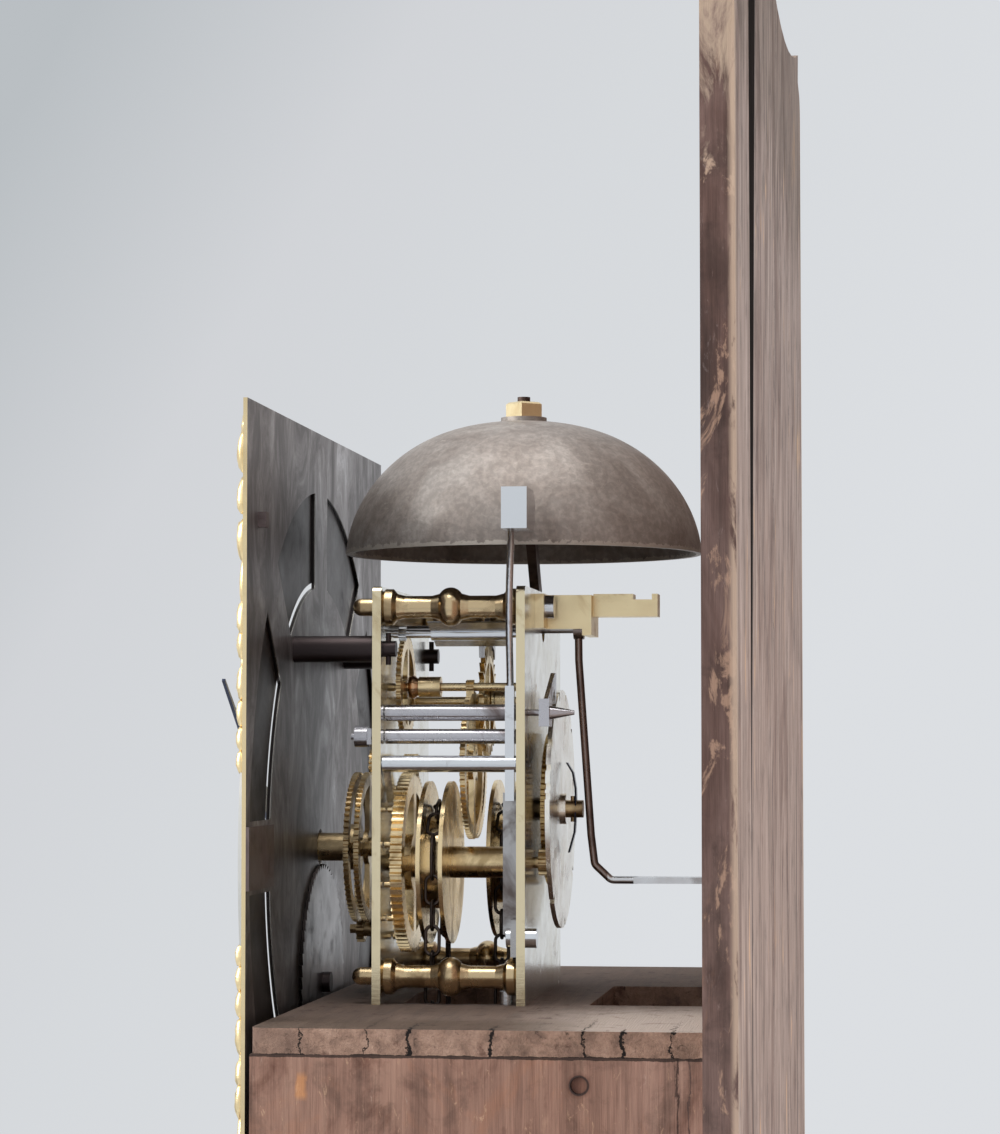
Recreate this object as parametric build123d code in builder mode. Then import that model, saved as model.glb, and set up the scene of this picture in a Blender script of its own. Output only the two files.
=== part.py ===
from build123d import *
from math import atan2, cos, degrees, radians, sin
import os

os.makedirs("parts", exist_ok=True)

# A longcase clock with its hood lifted off. X is across the clock with +X on its right as you
# face the dial, -Y is the front and +Z is up. The origin is on the floor under the middle.
# Sizes are in millimetres.

# Case
SEAT_TOP = 1560.0            # height of the top of the seatboard above the floor
BOARD_FRONT = 101.4          # Y of the backboard's front face
BOARD_THICKNESS = 10.9
BOARD_LEAN = 2.4             # how far the warped middle board stands out at its top
BOARD_HALF = 187.0           # half width of the middle board of the back
EAR_HALF = 273.0             # half width over the two side strips of the back
EAR_DROP = 130.0             # the strips start this far below the seatboard top
BOARD_RISE = 407.0           # top of the back above the seatboard top
BOARD_DIP = 26.0             # how much lower the top is at the middle
CASE_HALF = 165.0            # half width over the two trunk sides
SIDE_THICKNESS = 16.0
SEAT_FRONT = -61.3           # Y of the front edges of seatboard and trunk sides
SEAT_THICKNESS = 9.0
FRAME_THICKNESS = 20.0
TRUNK_BOTTOM = 430.0
TRUNK_TOP = 1430.0
STILE_WIDTH = 45.0
BASE_HALF = 220.0
BASE_STEP = 20.0             # base front ahead of the trunk front
BASE_BOARD = 18.0
SKIRT_HEIGHT = 70.0
SKIRT_THICKNESS = 13.4
MOULDING_HEIGHT = 38.0
DOOR_GAP = 1.5
DOOR_THICKNESS = 20.0
HINGE_HEIGHT = 60.0
HINGE_RADIUS = 4.0
HINGE_PIN_RADIUS = 2.0
RUN_CLEARANCE = 0.05         # radial clearance of a shaft or pin that turns in a hole

# Movement frame; heights with MOVEMENT are above the seatboard top
PLATE_HALF = 60.5
PLATE_HEIGHT = 156.4
PLATE_THICKNESS = 3.3
FRONT_PLATE_FACE = -36.4     # Y of the front face of the front plate
PLATE_GAP = 51.1
PILLAR_X = 53.5
PILLAR_LOW = 10.2
PILLAR_HIGH = 148.8
PILLAR_RADIUS = 4.2
KNOP_RADIUS = 7.35
COLLAR_RADIUS = 6.8
FINIAL_RADIUS = 3.3
FINIAL_LENGTH = 8.5
PIVOT_RADIUS = 1.2
ARBOR_RADIUS = 1.6

# Wheels, as teeth and module
MODULE_GREAT = 0.94
GREAT_TEETH = 72
GREAT_PINION = 8
MODULE_SECOND = 0.7
SECOND_TEETH = 80
ESCAPE_PINION = 6
MODULE_STRIKE = 0.8
STRIKE_SECOND_TEETH = 70
WARNING_PINION = 6
MODULE_FLY = 0.75
WARNING_TEETH = 52
FLY_PINION = 6
MODULE_MOTION = 0.8
MINUTE_TEETH = 72
DRIVER_TEETH = 16
CANNON_TEETH = 28
REVERSE_TEETH = 56
REVERSE_PINION = 12
HOUR_TEETH = 72
MODULE_COUNT = 0.746
COUNT_TEETH = 78
COUNT_PINION = 12
ESCAPE_TEETH = 30
ESCAPE_RADIUS = 21.6
LIFT_PINS = 12

# Arbor places across the plates, as X and height above the seatboard top
CENTRE = (0.0, 56.9)
GREAT_X = 25.0
GREAT_Z = 52.0
WEIGHT_SIDE = 21.0           # a chain's distance from its wheel's axis
HAMMER_ARBOR = (56.5, 89.8)
LIFT_ARBOR = (50.0, 109.0)
LOCK_ARBOR = (50.0, 100.1)
ANCHOR_Z = 142.0

# Dial
DIAL_HALF = 145.0
DIAL_HEIGHT = 325.0
DIAL_THICKNESS = 1.5
DIAL_BACK = -67.0            # Y of the back face of the dial plate
CHAPTER_OUTER = 144.0
CHAPTER_INNER = 104.0
CHAPTER_THICKNESS = 1.5
SPANDREL_THICKNESS = 3.0
MINUTE_HAND_LENGTH = 127.0
HOUR_HAND_LENGTH = 88.0

# Bell and hammer
BELL_RADIUS = 69.7
BELL_RIM = 171.3
BELL_HEIGHT = 52.3
BELL_WALL = 2.2
BELL_Y = 13.7

# Chains, weights and pendulum
CHAIN_RADIUS = 3.0
STRIKE_CHAIN_Y = -15.6
GOING_CHAIN_Y = 4.5
WEIGHT_RADIUS = 29.0
WEIGHT_LENGTH = 170.0
WEIGHT_TOP = 1180.0
COUNTER_RADIUS = 8.5
COUNTER_LENGTH = 60.0
COUNTER_TOP = 560.0
PENDULUM_Y = 90.0
PENDULUM_LENGTH = 994.0
BOB_RADIUS = 52.0
BOB_THICKNESS = 19.0
ROD_RADIUS = 2.2

# Places worked out from the sizes above
BOARD_BACK = BOARD_FRONT + BOARD_THICKNESS
TRUNK_FRONT = SEAT_FRONT - FRAME_THICKNESS
BASE_FRONT = TRUNK_FRONT - BASE_STEP
PLATE_BACK = FRONT_PLATE_FACE + 2 * PLATE_THICKNESS + PLATE_GAP
PLATE_INNER_FRONT = FRONT_PLATE_FACE + PLATE_THICKNESS
PLATE_INNER_BACK = PLATE_BACK - PLATE_THICKNESS
GREAT_PITCH = MODULE_GREAT * GREAT_TEETH / 2
GREAT_MESH = MODULE_GREAT * (GREAT_TEETH + GREAT_PINION) / 2


def meeting(first, first_reach, second, second_reach):
    """The higher point at two given distances from two arbors."""
    gap_x, gap_z = second[0] - first[0], second[1] - first[1]
    gap = (gap_x**2 + gap_z**2) ** 0.5
    along = (first_reach**2 - second_reach**2 + gap**2) / (2 * gap)
    aside = (first_reach**2 - along**2) ** 0.5
    return (
        first[0] + (along * gap_x - aside * gap_z) / gap,
        first[1] + (along * gap_z + aside * gap_x) / gap,
    )


def away(start, reach, angle):
    """The point at a distance and an angle, counted from +X towards +Z."""
    return (start[0] + reach * cos(radians(angle)), start[1] + reach * sin(radians(angle)))


def bearing(start, end):
    """The angle of the line from one arbor to another, from +X towards +Z."""
    return degrees(atan2(end[1] - start[1], end[0] - start[0]))


GOING_GREAT = (-GREAT_X, GREAT_Z)
STRIKE_GREAT = (GREAT_X, GREAT_Z)
DRIVER_MESH = MODULE_MOTION * (MINUTE_TEETH + DRIVER_TEETH) / 2
REVERSE_MESH = MODULE_MOTION * (CANNON_TEETH + REVERSE_TEETH) / 2
SECOND = meeting(GOING_GREAT, GREAT_MESH, CENTRE, DRIVER_MESH)
ESCAPE_MESH = MODULE_SECOND * (SECOND_TEETH + ESCAPE_PINION) / 2
ESCAPE = (0.0, SECOND[1] + (ESCAPE_MESH**2 - SECOND[0] ** 2) ** 0.5)
STRIKE_SECOND = away(STRIKE_GREAT, GREAT_MESH, 99.0)
WARNING_MESH = MODULE_STRIKE * (STRIKE_SECOND_TEETH + WARNING_PINION) / 2
WARNING = away(STRIKE_SECOND, WARNING_MESH, 80.6)
FLY_MESH = MODULE_FLY * (WARNING_TEETH + FLY_PINION) / 2
FLY = away(WARNING, FLY_MESH, 68.5)
COUNT_MESH = MODULE_COUNT * (COUNT_TEETH + COUNT_PINION) / 2
COUNT = away(STRIKE_GREAT, COUNT_MESH, 143.5)
REVERSE = away(CENTRE, REVERSE_MESH, -105.0)


def front_view(y, x=0.0, z=0.0):
    """A drawing plane seen from the front: its first axis is +X and its second is +Z."""
    return Plane(origin=(x, y, z), x_dir=(1, 0, 0), z_dir=(0, -1, 0))


def side_view(x, y=0.0, z=0.0):
    """A drawing plane seen from the clock's right: its first axis is +Y and its second is +Z."""
    return Plane(origin=(x, y, z), x_dir=(0, 1, 0), z_dir=(1, 0, 0))


def block(x0, x1, y0, y1, z0, z1, mode=Mode.ADD):
    """A plain block between two corners."""
    with Locations(((x0 + x1) / 2, (y0 + y1) / 2, (z0 + z1) / 2)):
        Box(x1 - x0, y1 - y0, z1 - z0, mode=mode)


def rod(place, y0, y1, radius, mode=Mode.ADD):
    """A round rod or hole along Y, centred on an arbor of the movement."""
    with BuildSketch(front_view(y1, place[0], SEAT_TOP + place[1])) as end:
        Circle(radius)
    extrude(end.sketch, amount=y1 - y0, mode=mode)


def upright(x, y, z0, z1, radius, mode=Mode.ADD):
    """A round rod or hole along Z."""
    with BuildSketch(Plane.XY.offset(z0)) as end:
        with Locations((x, y)):
            Circle(radius)
    extrude(end.sketch, amount=z1 - z0, mode=mode)



# Back: a middle board from floor to top, warped back at its top, with a strip on each side

BOARD_TOP = SEAT_TOP + BOARD_RISE
DIP_TOP = BOARD_TOP - BOARD_DIP
SHOULDER_TOP = BOARD_TOP - 2.0
CORNER_TOP = BOARD_TOP - 7.0
CORNER_RADIUS = 12.0
WARP_START = SEAT_TOP + 79.0
EAR_BOTTOM = SEAT_TOP - EAR_DROP
SEAM = 0.3

with BuildPart() as backboard:
    with BuildSketch(side_view(-BOARD_HALF)):
        with BuildLine():
            Polyline(
                (BOARD_FRONT, 0),
                (BOARD_BACK, 0),
                (BOARD_BACK, WARP_START),
                (BOARD_BACK + BOARD_LEAN, BOARD_TOP),
                (BOARD_FRONT, BOARD_TOP),
                close=True,
            )
        make_face()
    extrude(amount=2 * BOARD_HALF)
    with BuildSketch(front_view(BOARD_BACK + BOARD_LEAN)):
        with BuildLine():
            Polyline(
                (-BOARD_HALF, SHOULDER_TOP),
                (-BOARD_HALF, EAR_BOTTOM),
                (-CASE_HALF, EAR_BOTTOM),
                (-CASE_HALF, 0),
                (CASE_HALF, 0),
                (CASE_HALF, EAR_BOTTOM),
                (BOARD_HALF, EAR_BOTTOM),
                (BOARD_HALF, SHOULDER_TOP),
            )
            ThreePointArc((BOARD_HALF, SHOULDER_TOP), (0, DIP_TOP), (-BOARD_HALF, SHOULDER_TOP))
        make_face()
    extrude(amount=BOARD_THICKNESS + BOARD_LEAN, mode=Mode.INTERSECT)
backboard.part.label = "backboard"
export_step(backboard.part, "parts/backboard.step")

with BuildPart() as backboard_ears:
    with BuildSketch(front_view(BOARD_BACK)):
        with BuildLine():
            Polyline(
                (BOARD_HALF + SEAM, SHOULDER_TOP),
                (BOARD_HALF + SEAM, EAR_BOTTOM),
                (EAR_HALF, EAR_BOTTOM),
                (EAR_HALF, CORNER_TOP),
            )
            ThreePointArc(
                (EAR_HALF, CORNER_TOP), ((BOARD_HALF + EAR_HALF) / 2, BOARD_TOP),
                (BOARD_HALF + SEAM, SHOULDER_TOP),
            )
        outline = make_face()
        fillet(outline.vertices().group_by(Axis.X)[-1].group_by(Axis.Y)[-1], CORNER_RADIUS)
    extrude(amount=BOARD_THICKNESS)
    mirror(about=Plane.YZ)
backboard_ears.part.label = "backboard_ears"
export_step(backboard_ears.part, "parts/backboard_ears.step")

# Trunk sides, which run on up to carry the seatboard

SIDE_BOTTOM = TRUNK_BOTTOM - 40.0
SEAT_UNDER = SEAT_TOP - SEAT_THICKNESS
PLUG_RADIUS = 3.0
PLUG_DROP = 18.3
PLUG_Y = 52.3
PLUG_DEPTH = 1.0

with BuildPart() as side_boards:
    block(CASE_HALF - SIDE_THICKNESS, CASE_HALF, SEAT_FRONT, BOARD_FRONT, SIDE_BOTTOM, SEAT_UNDER)
    with BuildSketch(side_view(CASE_HALF, PLUG_Y, SEAT_TOP - PLUG_DROP)):
        Circle(PLUG_RADIUS)
    extrude(amount=-PLUG_DEPTH, mode=Mode.SUBTRACT)
    mirror(about=Plane.YZ)
side_boards.part.label = "side_boards"
export_step(side_boards.part, "parts/side_boards.step")

# Seatboard with its rough chain hole and the slot for the pendulum

CHAIN_HOLE_BACK = 10.0
CHAIN_HOLE_FRONT = -28.0
CHAIN_HOLE_HALF = GREAT_X + WEIGHT_SIDE + CHAIN_RADIUS + 1.5
SLOT_FRONT = 44.5
SLOT_LEFT = -46.0
SLOT_RIGHT = 52.0
SEAT_CORNER = 6.0
SEAT_BOLT_RADIUS = 2.5
SEAT_BOLT_Y = PLATE_INNER_BACK - 4.5

with BuildPart() as seatboard:
    block(-CASE_HALF, CASE_HALF, SEAT_FRONT, BOARD_FRONT, SEAT_UNDER, SEAT_TOP)
    fillet(seatboard.edges().filter_by(Axis.Z).group_by(Axis.Y)[0], SEAT_CORNER)
    block(SLOT_LEFT, SLOT_RIGHT, SLOT_FRONT, BOARD_FRONT, SEAT_UNDER, SEAT_TOP, Mode.SUBTRACT)
    with BuildSketch(Plane.XY.offset(SEAT_UNDER)):
        with BuildLine():
            Polyline(
                (-CHAIN_HOLE_HALF, CHAIN_HOLE_BACK),
                (-CHAIN_HOLE_HALF - 2, CHAIN_HOLE_FRONT + 16),
                (-CHAIN_HOLE_HALF + 12, CHAIN_HOLE_FRONT + 3),
                (0, CHAIN_HOLE_FRONT),
                (CHAIN_HOLE_HALF - 2, CHAIN_HOLE_FRONT + 2),
                (CHAIN_HOLE_HALF + 2, CHAIN_HOLE_FRONT + 22),
                (CHAIN_HOLE_HALF - 1, CHAIN_HOLE_BACK),
                close=True,
            )
        make_face()
    extrude(amount=SEAT_THICKNESS, mode=Mode.SUBTRACT)
    for x in (-PILLAR_X, PILLAR_X):
        upright(x, SEAT_BOLT_Y, SEAT_UNDER, SEAT_TOP, SEAT_BOLT_RADIUS + 0.2, Mode.SUBTRACT)
seatboard.part.label = "seatboard"
export_step(seatboard.part, "parts/seatboard.step")

# Trunk front: a frame of stiles and rails round the door opening

OPENING_HALF = CASE_HALF - STILE_WIDTH
OPENING_BOTTOM = TRUNK_BOTTOM + 70.0
OPENING_TOP = TRUNK_TOP - 60.0

with BuildPart() as trunk_front:
    block(-CASE_HALF, CASE_HALF, TRUNK_FRONT, SEAT_FRONT, SIDE_BOTTOM, TRUNK_TOP)
    block(
        -OPENING_HALF, OPENING_HALF, TRUNK_FRONT, SEAT_FRONT, OPENING_BOTTOM, OPENING_TOP,
        Mode.SUBTRACT,
    )
trunk_front.part.label = "trunk_front"
export_step(trunk_front.part, "parts/trunk_front.step")

# Base box: front, two sides and floor board, with the skirting round its foot

FLOOR_HEIGHT = 40.0
BASE_JOINT = 0.2

with BuildPart() as base_box:
    block(-BASE_HALF, BASE_HALF, BASE_FRONT, BASE_FRONT + BASE_BOARD, 0, TRUNK_BOTTOM)
    for side in (-1, 1):
        outer, inner = side * BASE_HALF, side * (BASE_HALF - BASE_BOARD)
        low, high = min(outer, inner), max(outer, inner)
        block(low, high, BASE_FRONT + BASE_BOARD + BASE_JOINT, BOARD_BACK, 0, TRUNK_BOTTOM)
        outer, inner = side * (BASE_HALF - BASE_BOARD - BASE_JOINT), side * (CASE_HALF + BASE_JOINT)
        low, high = min(outer, inner), max(outer, inner)
        block(low, high, BOARD_FRONT, BOARD_BACK, 0, TRUNK_BOTTOM)
    inside = BASE_HALF - BASE_BOARD - BASE_JOINT
    front, back = BASE_FRONT + BASE_BOARD + BASE_JOINT, BOARD_FRONT - BASE_JOINT
    block(-inside, inside, front, back, FLOOR_HEIGHT, FLOOR_HEIGHT + BASE_BOARD)
base_box.part.label = "base_box"
export_step(base_box.part, "parts/base_box.step")

with BuildPart() as skirting:
    block(
        -BASE_HALF - SKIRT_THICKNESS, BASE_HALF + SKIRT_THICKNESS,
        BASE_FRONT - SKIRT_THICKNESS, BOARD_BACK, 0, SKIRT_HEIGHT,
    )
    chamfer(skirting.edges().group_by(Axis.Z)[-1].sort_by(Axis.Y)[:-1], SKIRT_THICKNESS * 0.6)
    block(-BASE_HALF, BASE_HALF, BASE_FRONT, BOARD_BACK, 0, SKIRT_HEIGHT, Mode.SUBTRACT)
skirting.part.label = "skirting"
export_step(skirting.part, "parts/skirting.step")

# Hollow mouldings: one from trunk to base, one that the hood rests on

HOOD_STEP = 30.0


def outline_block(half, front, z0, z1, mode=Mode.ADD):
    """A block round the trunk that stops at the front of the back."""
    block(-half, half, front, BOARD_FRONT, z0, z1, mode)


with BuildPart() as case_mouldings:
    steps = 3
    for step in range(steps):
        share = 1 - (step / steps) ** 0.5
        half = CASE_HALF + (BASE_HALF - CASE_HALF) * share + 2
        front = TRUNK_FRONT - BASE_STEP * share - 2
        low = TRUNK_BOTTOM + MOULDING_HEIGHT * step / steps
        outline_block(half, front, low, low + MOULDING_HEIGHT / steps)
        reach = HOOD_STEP * share + 2
        high = TRUNK_TOP - MOULDING_HEIGHT * step / steps
        outline_block(
            CASE_HALF + reach, TRUNK_FRONT - reach, high - MOULDING_HEIGHT / steps, high
        )
    outline_block(CASE_HALF, TRUNK_FRONT, TRUNK_BOTTOM, TRUNK_TOP, Mode.SUBTRACT)
case_mouldings.part.label = "case_mouldings"
export_step(case_mouldings.part, "parts/case_mouldings.step")

# Trunk door on two pinned hinges, with a lock whose bolt shoots behind the stile

HINGE_STANDOFF = 0.3
HINGE_X = OPENING_HALF
HINGE_Y = TRUNK_FRONT - HINGE_RADIUS - HINGE_STANDOFF
HINGE_INSET = 120.0
LEAF_WIDTH = 24.0
LEAF_THICKNESS = 1.5
KNUCKLE_GAP = 0.3
HINGE_LEVELS = (OPENING_BOTTOM + HINGE_INSET, OPENING_TOP - HINGE_INSET)

with BuildPart() as trunk_door:
    block(
        -OPENING_HALF + DOOR_GAP, OPENING_HALF - DOOR_GAP, TRUNK_FRONT, TRUNK_FRONT + DOOR_THICKNESS,
        OPENING_BOTTOM + DOOR_GAP, OPENING_TOP - DOOR_GAP,
    )
    fillet(trunk_door.faces().sort_by(Axis.Y)[0].edges().filter_by(Axis.X), 3.0)
trunk_door.part.label = "trunk_door"
export_step(trunk_door.part, "parts/trunk_door.step")


def leaf(side, low, high):
    """A hinge leaf that lies on the wood beside the knuckles; side is +1 on the case."""
    near, far = HINGE_X + side * HINGE_PIN_RADIUS * 1.4, HINGE_X + side * LEAF_WIDTH
    block(
        min(near, far), max(near, far), TRUNK_FRONT - LEAF_THICKNESS, TRUNK_FRONT, low, high
    )
    edge = HINGE_X + side * (HINGE_RADIUS + 1.0)
    block(
        min(near, edge), max(near, edge), HINGE_Y, TRUNK_FRONT - LEAF_THICKNESS, low, high
    )


with BuildPart() as case_hinges:
    for level in HINGE_LEVELS:
        for low, high in (
            (level - HINGE_HEIGHT / 2, level - HINGE_HEIGHT / 6 - KNUCKLE_GAP / 2),
            (level + HINGE_HEIGHT / 6 + KNUCKLE_GAP / 2, level + HINGE_HEIGHT / 2),
        ):
            leaf(1, low, high)
            upright(HINGE_X, HINGE_Y, low, high, HINGE_RADIUS)
        upright(
            HINGE_X, HINGE_Y, level - HINGE_HEIGHT / 2, level + HINGE_HEIGHT / 2, HINGE_PIN_RADIUS
        )
case_hinges.part.label = "case_hinges"
export_step(case_hinges.part, "parts/case_hinges.step")

with BuildPart() as door_hinges:
    for level in HINGE_LEVELS:
        low = level - HINGE_HEIGHT / 6 + KNUCKLE_GAP / 2
        high = level + HINGE_HEIGHT / 6 - KNUCKLE_GAP / 2
        leaf(-1, low, high)
        upright(HINGE_X, HINGE_Y, low, high, HINGE_RADIUS)
        upright(HINGE_X, HINGE_Y, low, high, HINGE_PIN_RADIUS + RUN_CLEARANCE, Mode.SUBTRACT)
door_hinges.part.label = "door_hinges"
export_step(door_hinges.part, "parts/door_hinges.step")

LOCK_WIDTH = 44.0
LOCK_HEIGHT = 34.0
LOCK_DEPTH = 10.0
LOCK_Z = (OPENING_BOTTOM + OPENING_TOP) / 2
LOCK_EDGE = -OPENING_HALF + DOOR_GAP
BOLT_HEIGHT = 9.0
BOLT_DEPTH = 4.0
BOLT_GAP = 0.3
BOLT_LENGTH = 30.0
ESCUTCHEON_RADIUS = 11.0
DOOR_BACK = TRUNK_FRONT + DOOR_THICKNESS
BOLT_Y = DOOR_BACK + LOCK_DEPTH / 2

with BuildPart() as door_lock:
    block(
        LOCK_EDGE, LOCK_EDGE + LOCK_WIDTH, DOOR_BACK, DOOR_BACK + LOCK_DEPTH,
        LOCK_Z - LOCK_HEIGHT / 2, LOCK_Z + LOCK_HEIGHT / 2,
    )
    block(
        LOCK_EDGE, LOCK_EDGE + BOLT_LENGTH + 2,
        BOLT_Y - BOLT_DEPTH / 2 - BOLT_GAP, BOLT_Y + BOLT_DEPTH / 2 + BOLT_GAP,
        LOCK_Z - BOLT_HEIGHT / 2 - BOLT_GAP, LOCK_Z + BOLT_HEIGHT / 2 + BOLT_GAP, Mode.SUBTRACT,
    )
    with BuildSketch(front_view(TRUNK_FRONT, LOCK_EDGE + LOCK_WIDTH / 2, LOCK_Z)):
        Ellipse(ESCUTCHEON_RADIUS, ESCUTCHEON_RADIUS * 1.5)
        with Locations((0, 2)):
            Circle(1.8, mode=Mode.SUBTRACT)
        with Locations((0, -1)):
            Rectangle(1.6, 6, mode=Mode.SUBTRACT)
    extrude(amount=LEAF_THICKNESS)
door_lock.part.label = "door_lock"
export_step(door_lock.part, "parts/door_lock.step")

with BuildPart() as lock_bolt:
    block(
        LOCK_EDGE, LOCK_EDGE + BOLT_LENGTH, BOLT_Y - BOLT_DEPTH / 2, BOLT_Y + BOLT_DEPTH / 2,
        LOCK_Z - BOLT_HEIGHT / 2, LOCK_Z + BOLT_HEIGHT / 2,
    )
lock_bolt.part.label = "lock_bolt"
export_step(lock_bolt.part, "parts/lock_bolt.step")


# Movement plates, pinned apart by four turned pillars

END_SHAKE = 0.3
GREAT_PIVOT = 2.2
CRUTCH_HOLE = 5.0
FOOT_TENON = 3.0
FOOT_RADIUS = 5.0
FOOT_PLACES = ((-55.0, 133.0), (55.0, 133.0))
PILLAR_PLACES = tuple((x, z) for x in (-PILLAR_X, PILLAR_X) for z in (PILLAR_LOW, PILLAR_HIGH))
ANCHOR = (0.0, ANCHOR_Z)
SMALL_PIVOTS = (SECOND, ESCAPE, STRIKE_SECOND, WARNING, FLY, HAMMER_ARBOR, LIFT_ARBOR, LOCK_ARBOR)
PLATE_CORNER = 3.0

with BuildPart() as front_plate:
    block(
        -PLATE_HALF, PLATE_HALF, FRONT_PLATE_FACE, PLATE_INNER_FRONT, SEAT_TOP, SEAT_TOP + PLATE_HEIGHT
    )
    fillet(front_plate.edges().filter_by(Axis.Y).group_by(Axis.Z)[-1], PLATE_CORNER)
    for place in SMALL_PIVOTS + (ANCHOR,):
        rod(place, FRONT_PLATE_FACE, PLATE_INNER_FRONT, PIVOT_RADIUS + RUN_CLEARANCE, Mode.SUBTRACT)
    for place in (GOING_GREAT, STRIKE_GREAT):
        rod(place, FRONT_PLATE_FACE, PLATE_INNER_FRONT, GREAT_PIVOT + RUN_CLEARANCE, Mode.SUBTRACT)
    for place in FOOT_PLACES:
        rod(place, FRONT_PLATE_FACE, PLATE_INNER_FRONT, FOOT_TENON, Mode.SUBTRACT)
    for place in PILLAR_PLACES:
        rod(place, FRONT_PLATE_FACE, PLATE_INNER_FRONT, FINIAL_RADIUS, Mode.SUBTRACT)
front_plate.part.label = "front_plate"
export_step(front_plate.part, "parts/front_plate.step")

with BuildPart() as back_plate:
    block(
        -PLATE_HALF, PLATE_HALF, PLATE_INNER_BACK, PLATE_BACK, SEAT_TOP, SEAT_TOP + PLATE_HEIGHT
    )
    fillet(back_plate.edges().filter_by(Axis.Y).group_by(Axis.Z)[-1], PLATE_CORNER)
    for place in SMALL_PIVOTS:
        rod(place, PLATE_INNER_BACK, PLATE_BACK, PIVOT_RADIUS + RUN_CLEARANCE, Mode.SUBTRACT)
    for place in (GOING_GREAT, STRIKE_GREAT):
        rod(place, PLATE_INNER_BACK, PLATE_BACK, GREAT_PIVOT + RUN_CLEARANCE, Mode.SUBTRACT)
    rod(ANCHOR, PLATE_INNER_BACK, PLATE_BACK, CRUTCH_HOLE, Mode.SUBTRACT)
back_plate.part.label = "back_plate"
export_step(back_plate.part, "parts/back_plate.step")

KNOP_LENGTH = 8.3
COLLAR_LENGTH = 5.3
WAIST_LENGTH = 3.0

with BuildPart() as pillars:
    for place in PILLAR_PLACES:
        middle = (PLATE_INNER_FRONT + PLATE_INNER_BACK) / 2
        with BuildSketch(side_view(place[0], 0, SEAT_TOP + place[1])) as profile:
            with BuildLine():
                Polyline(
                    (FRONT_PLATE_FACE - FINIAL_LENGTH + FINIAL_RADIUS, FINIAL_RADIUS),
                    (PLATE_INNER_FRONT, FINIAL_RADIUS),
                    (PLATE_INNER_FRONT, COLLAR_RADIUS - 1),
                    (PLATE_INNER_FRONT + 1, COLLAR_RADIUS),
                    (PLATE_INNER_FRONT + COLLAR_LENGTH - 1.5, COLLAR_RADIUS),
                    (PLATE_INNER_FRONT + COLLAR_LENGTH, PILLAR_RADIUS + 0.8),
                    (PLATE_INNER_FRONT + COLLAR_LENGTH + WAIST_LENGTH, PILLAR_RADIUS),
                    (middle - KNOP_LENGTH / 2 - WAIST_LENGTH, PILLAR_RADIUS),
                    (middle - KNOP_LENGTH / 2, PILLAR_RADIUS + 0.8),
                )
                ThreePointArc(
                    (middle - KNOP_LENGTH / 2, PILLAR_RADIUS + 0.8),
                    (middle, KNOP_RADIUS),
                    (middle + KNOP_LENGTH / 2, PILLAR_RADIUS + 0.8),
                )
                Polyline(
                    (middle + KNOP_LENGTH / 2, PILLAR_RADIUS + 0.8),
                    (middle + KNOP_LENGTH / 2 + WAIST_LENGTH, PILLAR_RADIUS),
                    (PLATE_INNER_BACK - COLLAR_LENGTH - WAIST_LENGTH, PILLAR_RADIUS),
                    (PLATE_INNER_BACK - COLLAR_LENGTH, PILLAR_RADIUS + 0.8),
                    (PLATE_INNER_BACK - COLLAR_LENGTH + 1.5, COLLAR_RADIUS),
                    (PLATE_INNER_BACK - 1, COLLAR_RADIUS),
                    (PLATE_INNER_BACK, COLLAR_RADIUS - 1),
                    (PLATE_INNER_BACK, 0),
                    (FRONT_PLATE_FACE - FINIAL_LENGTH, 0),
                )
                ThreePointArc(
                    (FRONT_PLATE_FACE - FINIAL_LENGTH, 0),
                    (
                        FRONT_PLATE_FACE - FINIAL_LENGTH + FINIAL_RADIUS * (1 - cos(radians(45))),
                        FINIAL_RADIUS * sin(radians(45)),
                    ),
                    (FRONT_PLATE_FACE - FINIAL_LENGTH + FINIAL_RADIUS, FINIAL_RADIUS),
                )
            make_face()
        revolve(profile.sketch, axis=Axis((place[0], 0, SEAT_TOP + place[1]), (0, 1, 0)))
    for x in (-PILLAR_X, PILLAR_X):
        upright(x, SEAT_BOLT_Y, SEAT_TOP, SEAT_TOP + PILLAR_LOW, SEAT_BOLT_RADIUS, Mode.SUBTRACT)
pillars.part.label = "pillars"
export_step(pillars.part, "parts/pillars.step")

# Posts that wheels turn on: the dial centre, the reverse wheel and the count wheel

CENTRE_POST = 2.2
CENTRE_POST_LENGTH = 52.0
REVERSE_POST = 1.8
REVERSE_POST_LENGTH = 20.0
COUNT_POST = 3.4
COUNT_POST_LENGTH = 15.5
CROSS_PIN = 1.0
CROSS_PIN_LENGTH = 10.0
POST_FLANGE = 4.5
POST_FLANGE_THICKNESS = 1.5

with BuildPart() as wheel_posts:
    for place, radius, length in (
        (CENTRE, CENTRE_POST, CENTRE_POST_LENGTH),
        (REVERSE, REVERSE_POST, REVERSE_POST_LENGTH),
    ):
        rod(place, FRONT_PLATE_FACE - length, FRONT_PLATE_FACE, radius)
        rod(place, FRONT_PLATE_FACE - POST_FLANGE_THICKNESS, FRONT_PLATE_FACE, POST_FLANGE)
    rod(COUNT, PLATE_BACK, PLATE_BACK + COUNT_POST_LENGTH, COUNT_POST)
    rod(COUNT, PLATE_BACK, PLATE_BACK + POST_FLANGE_THICKNESS, POST_FLANGE)
    upright(
        COUNT[0], PLATE_BACK + COUNT_POST_LENGTH - 4.0,
        SEAT_TOP + COUNT[1] - CROSS_PIN_LENGTH / 2, SEAT_TOP + COUNT[1] + CROSS_PIN_LENGTH / 2,
        CROSS_PIN,
    )
wheel_posts.part.label = "wheel_posts"
export_step(wheel_posts.part, "parts/wheel_posts.step")

# Dial: a plate with its ring cut away behind the chapter ring, and what is fixed to it

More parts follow.
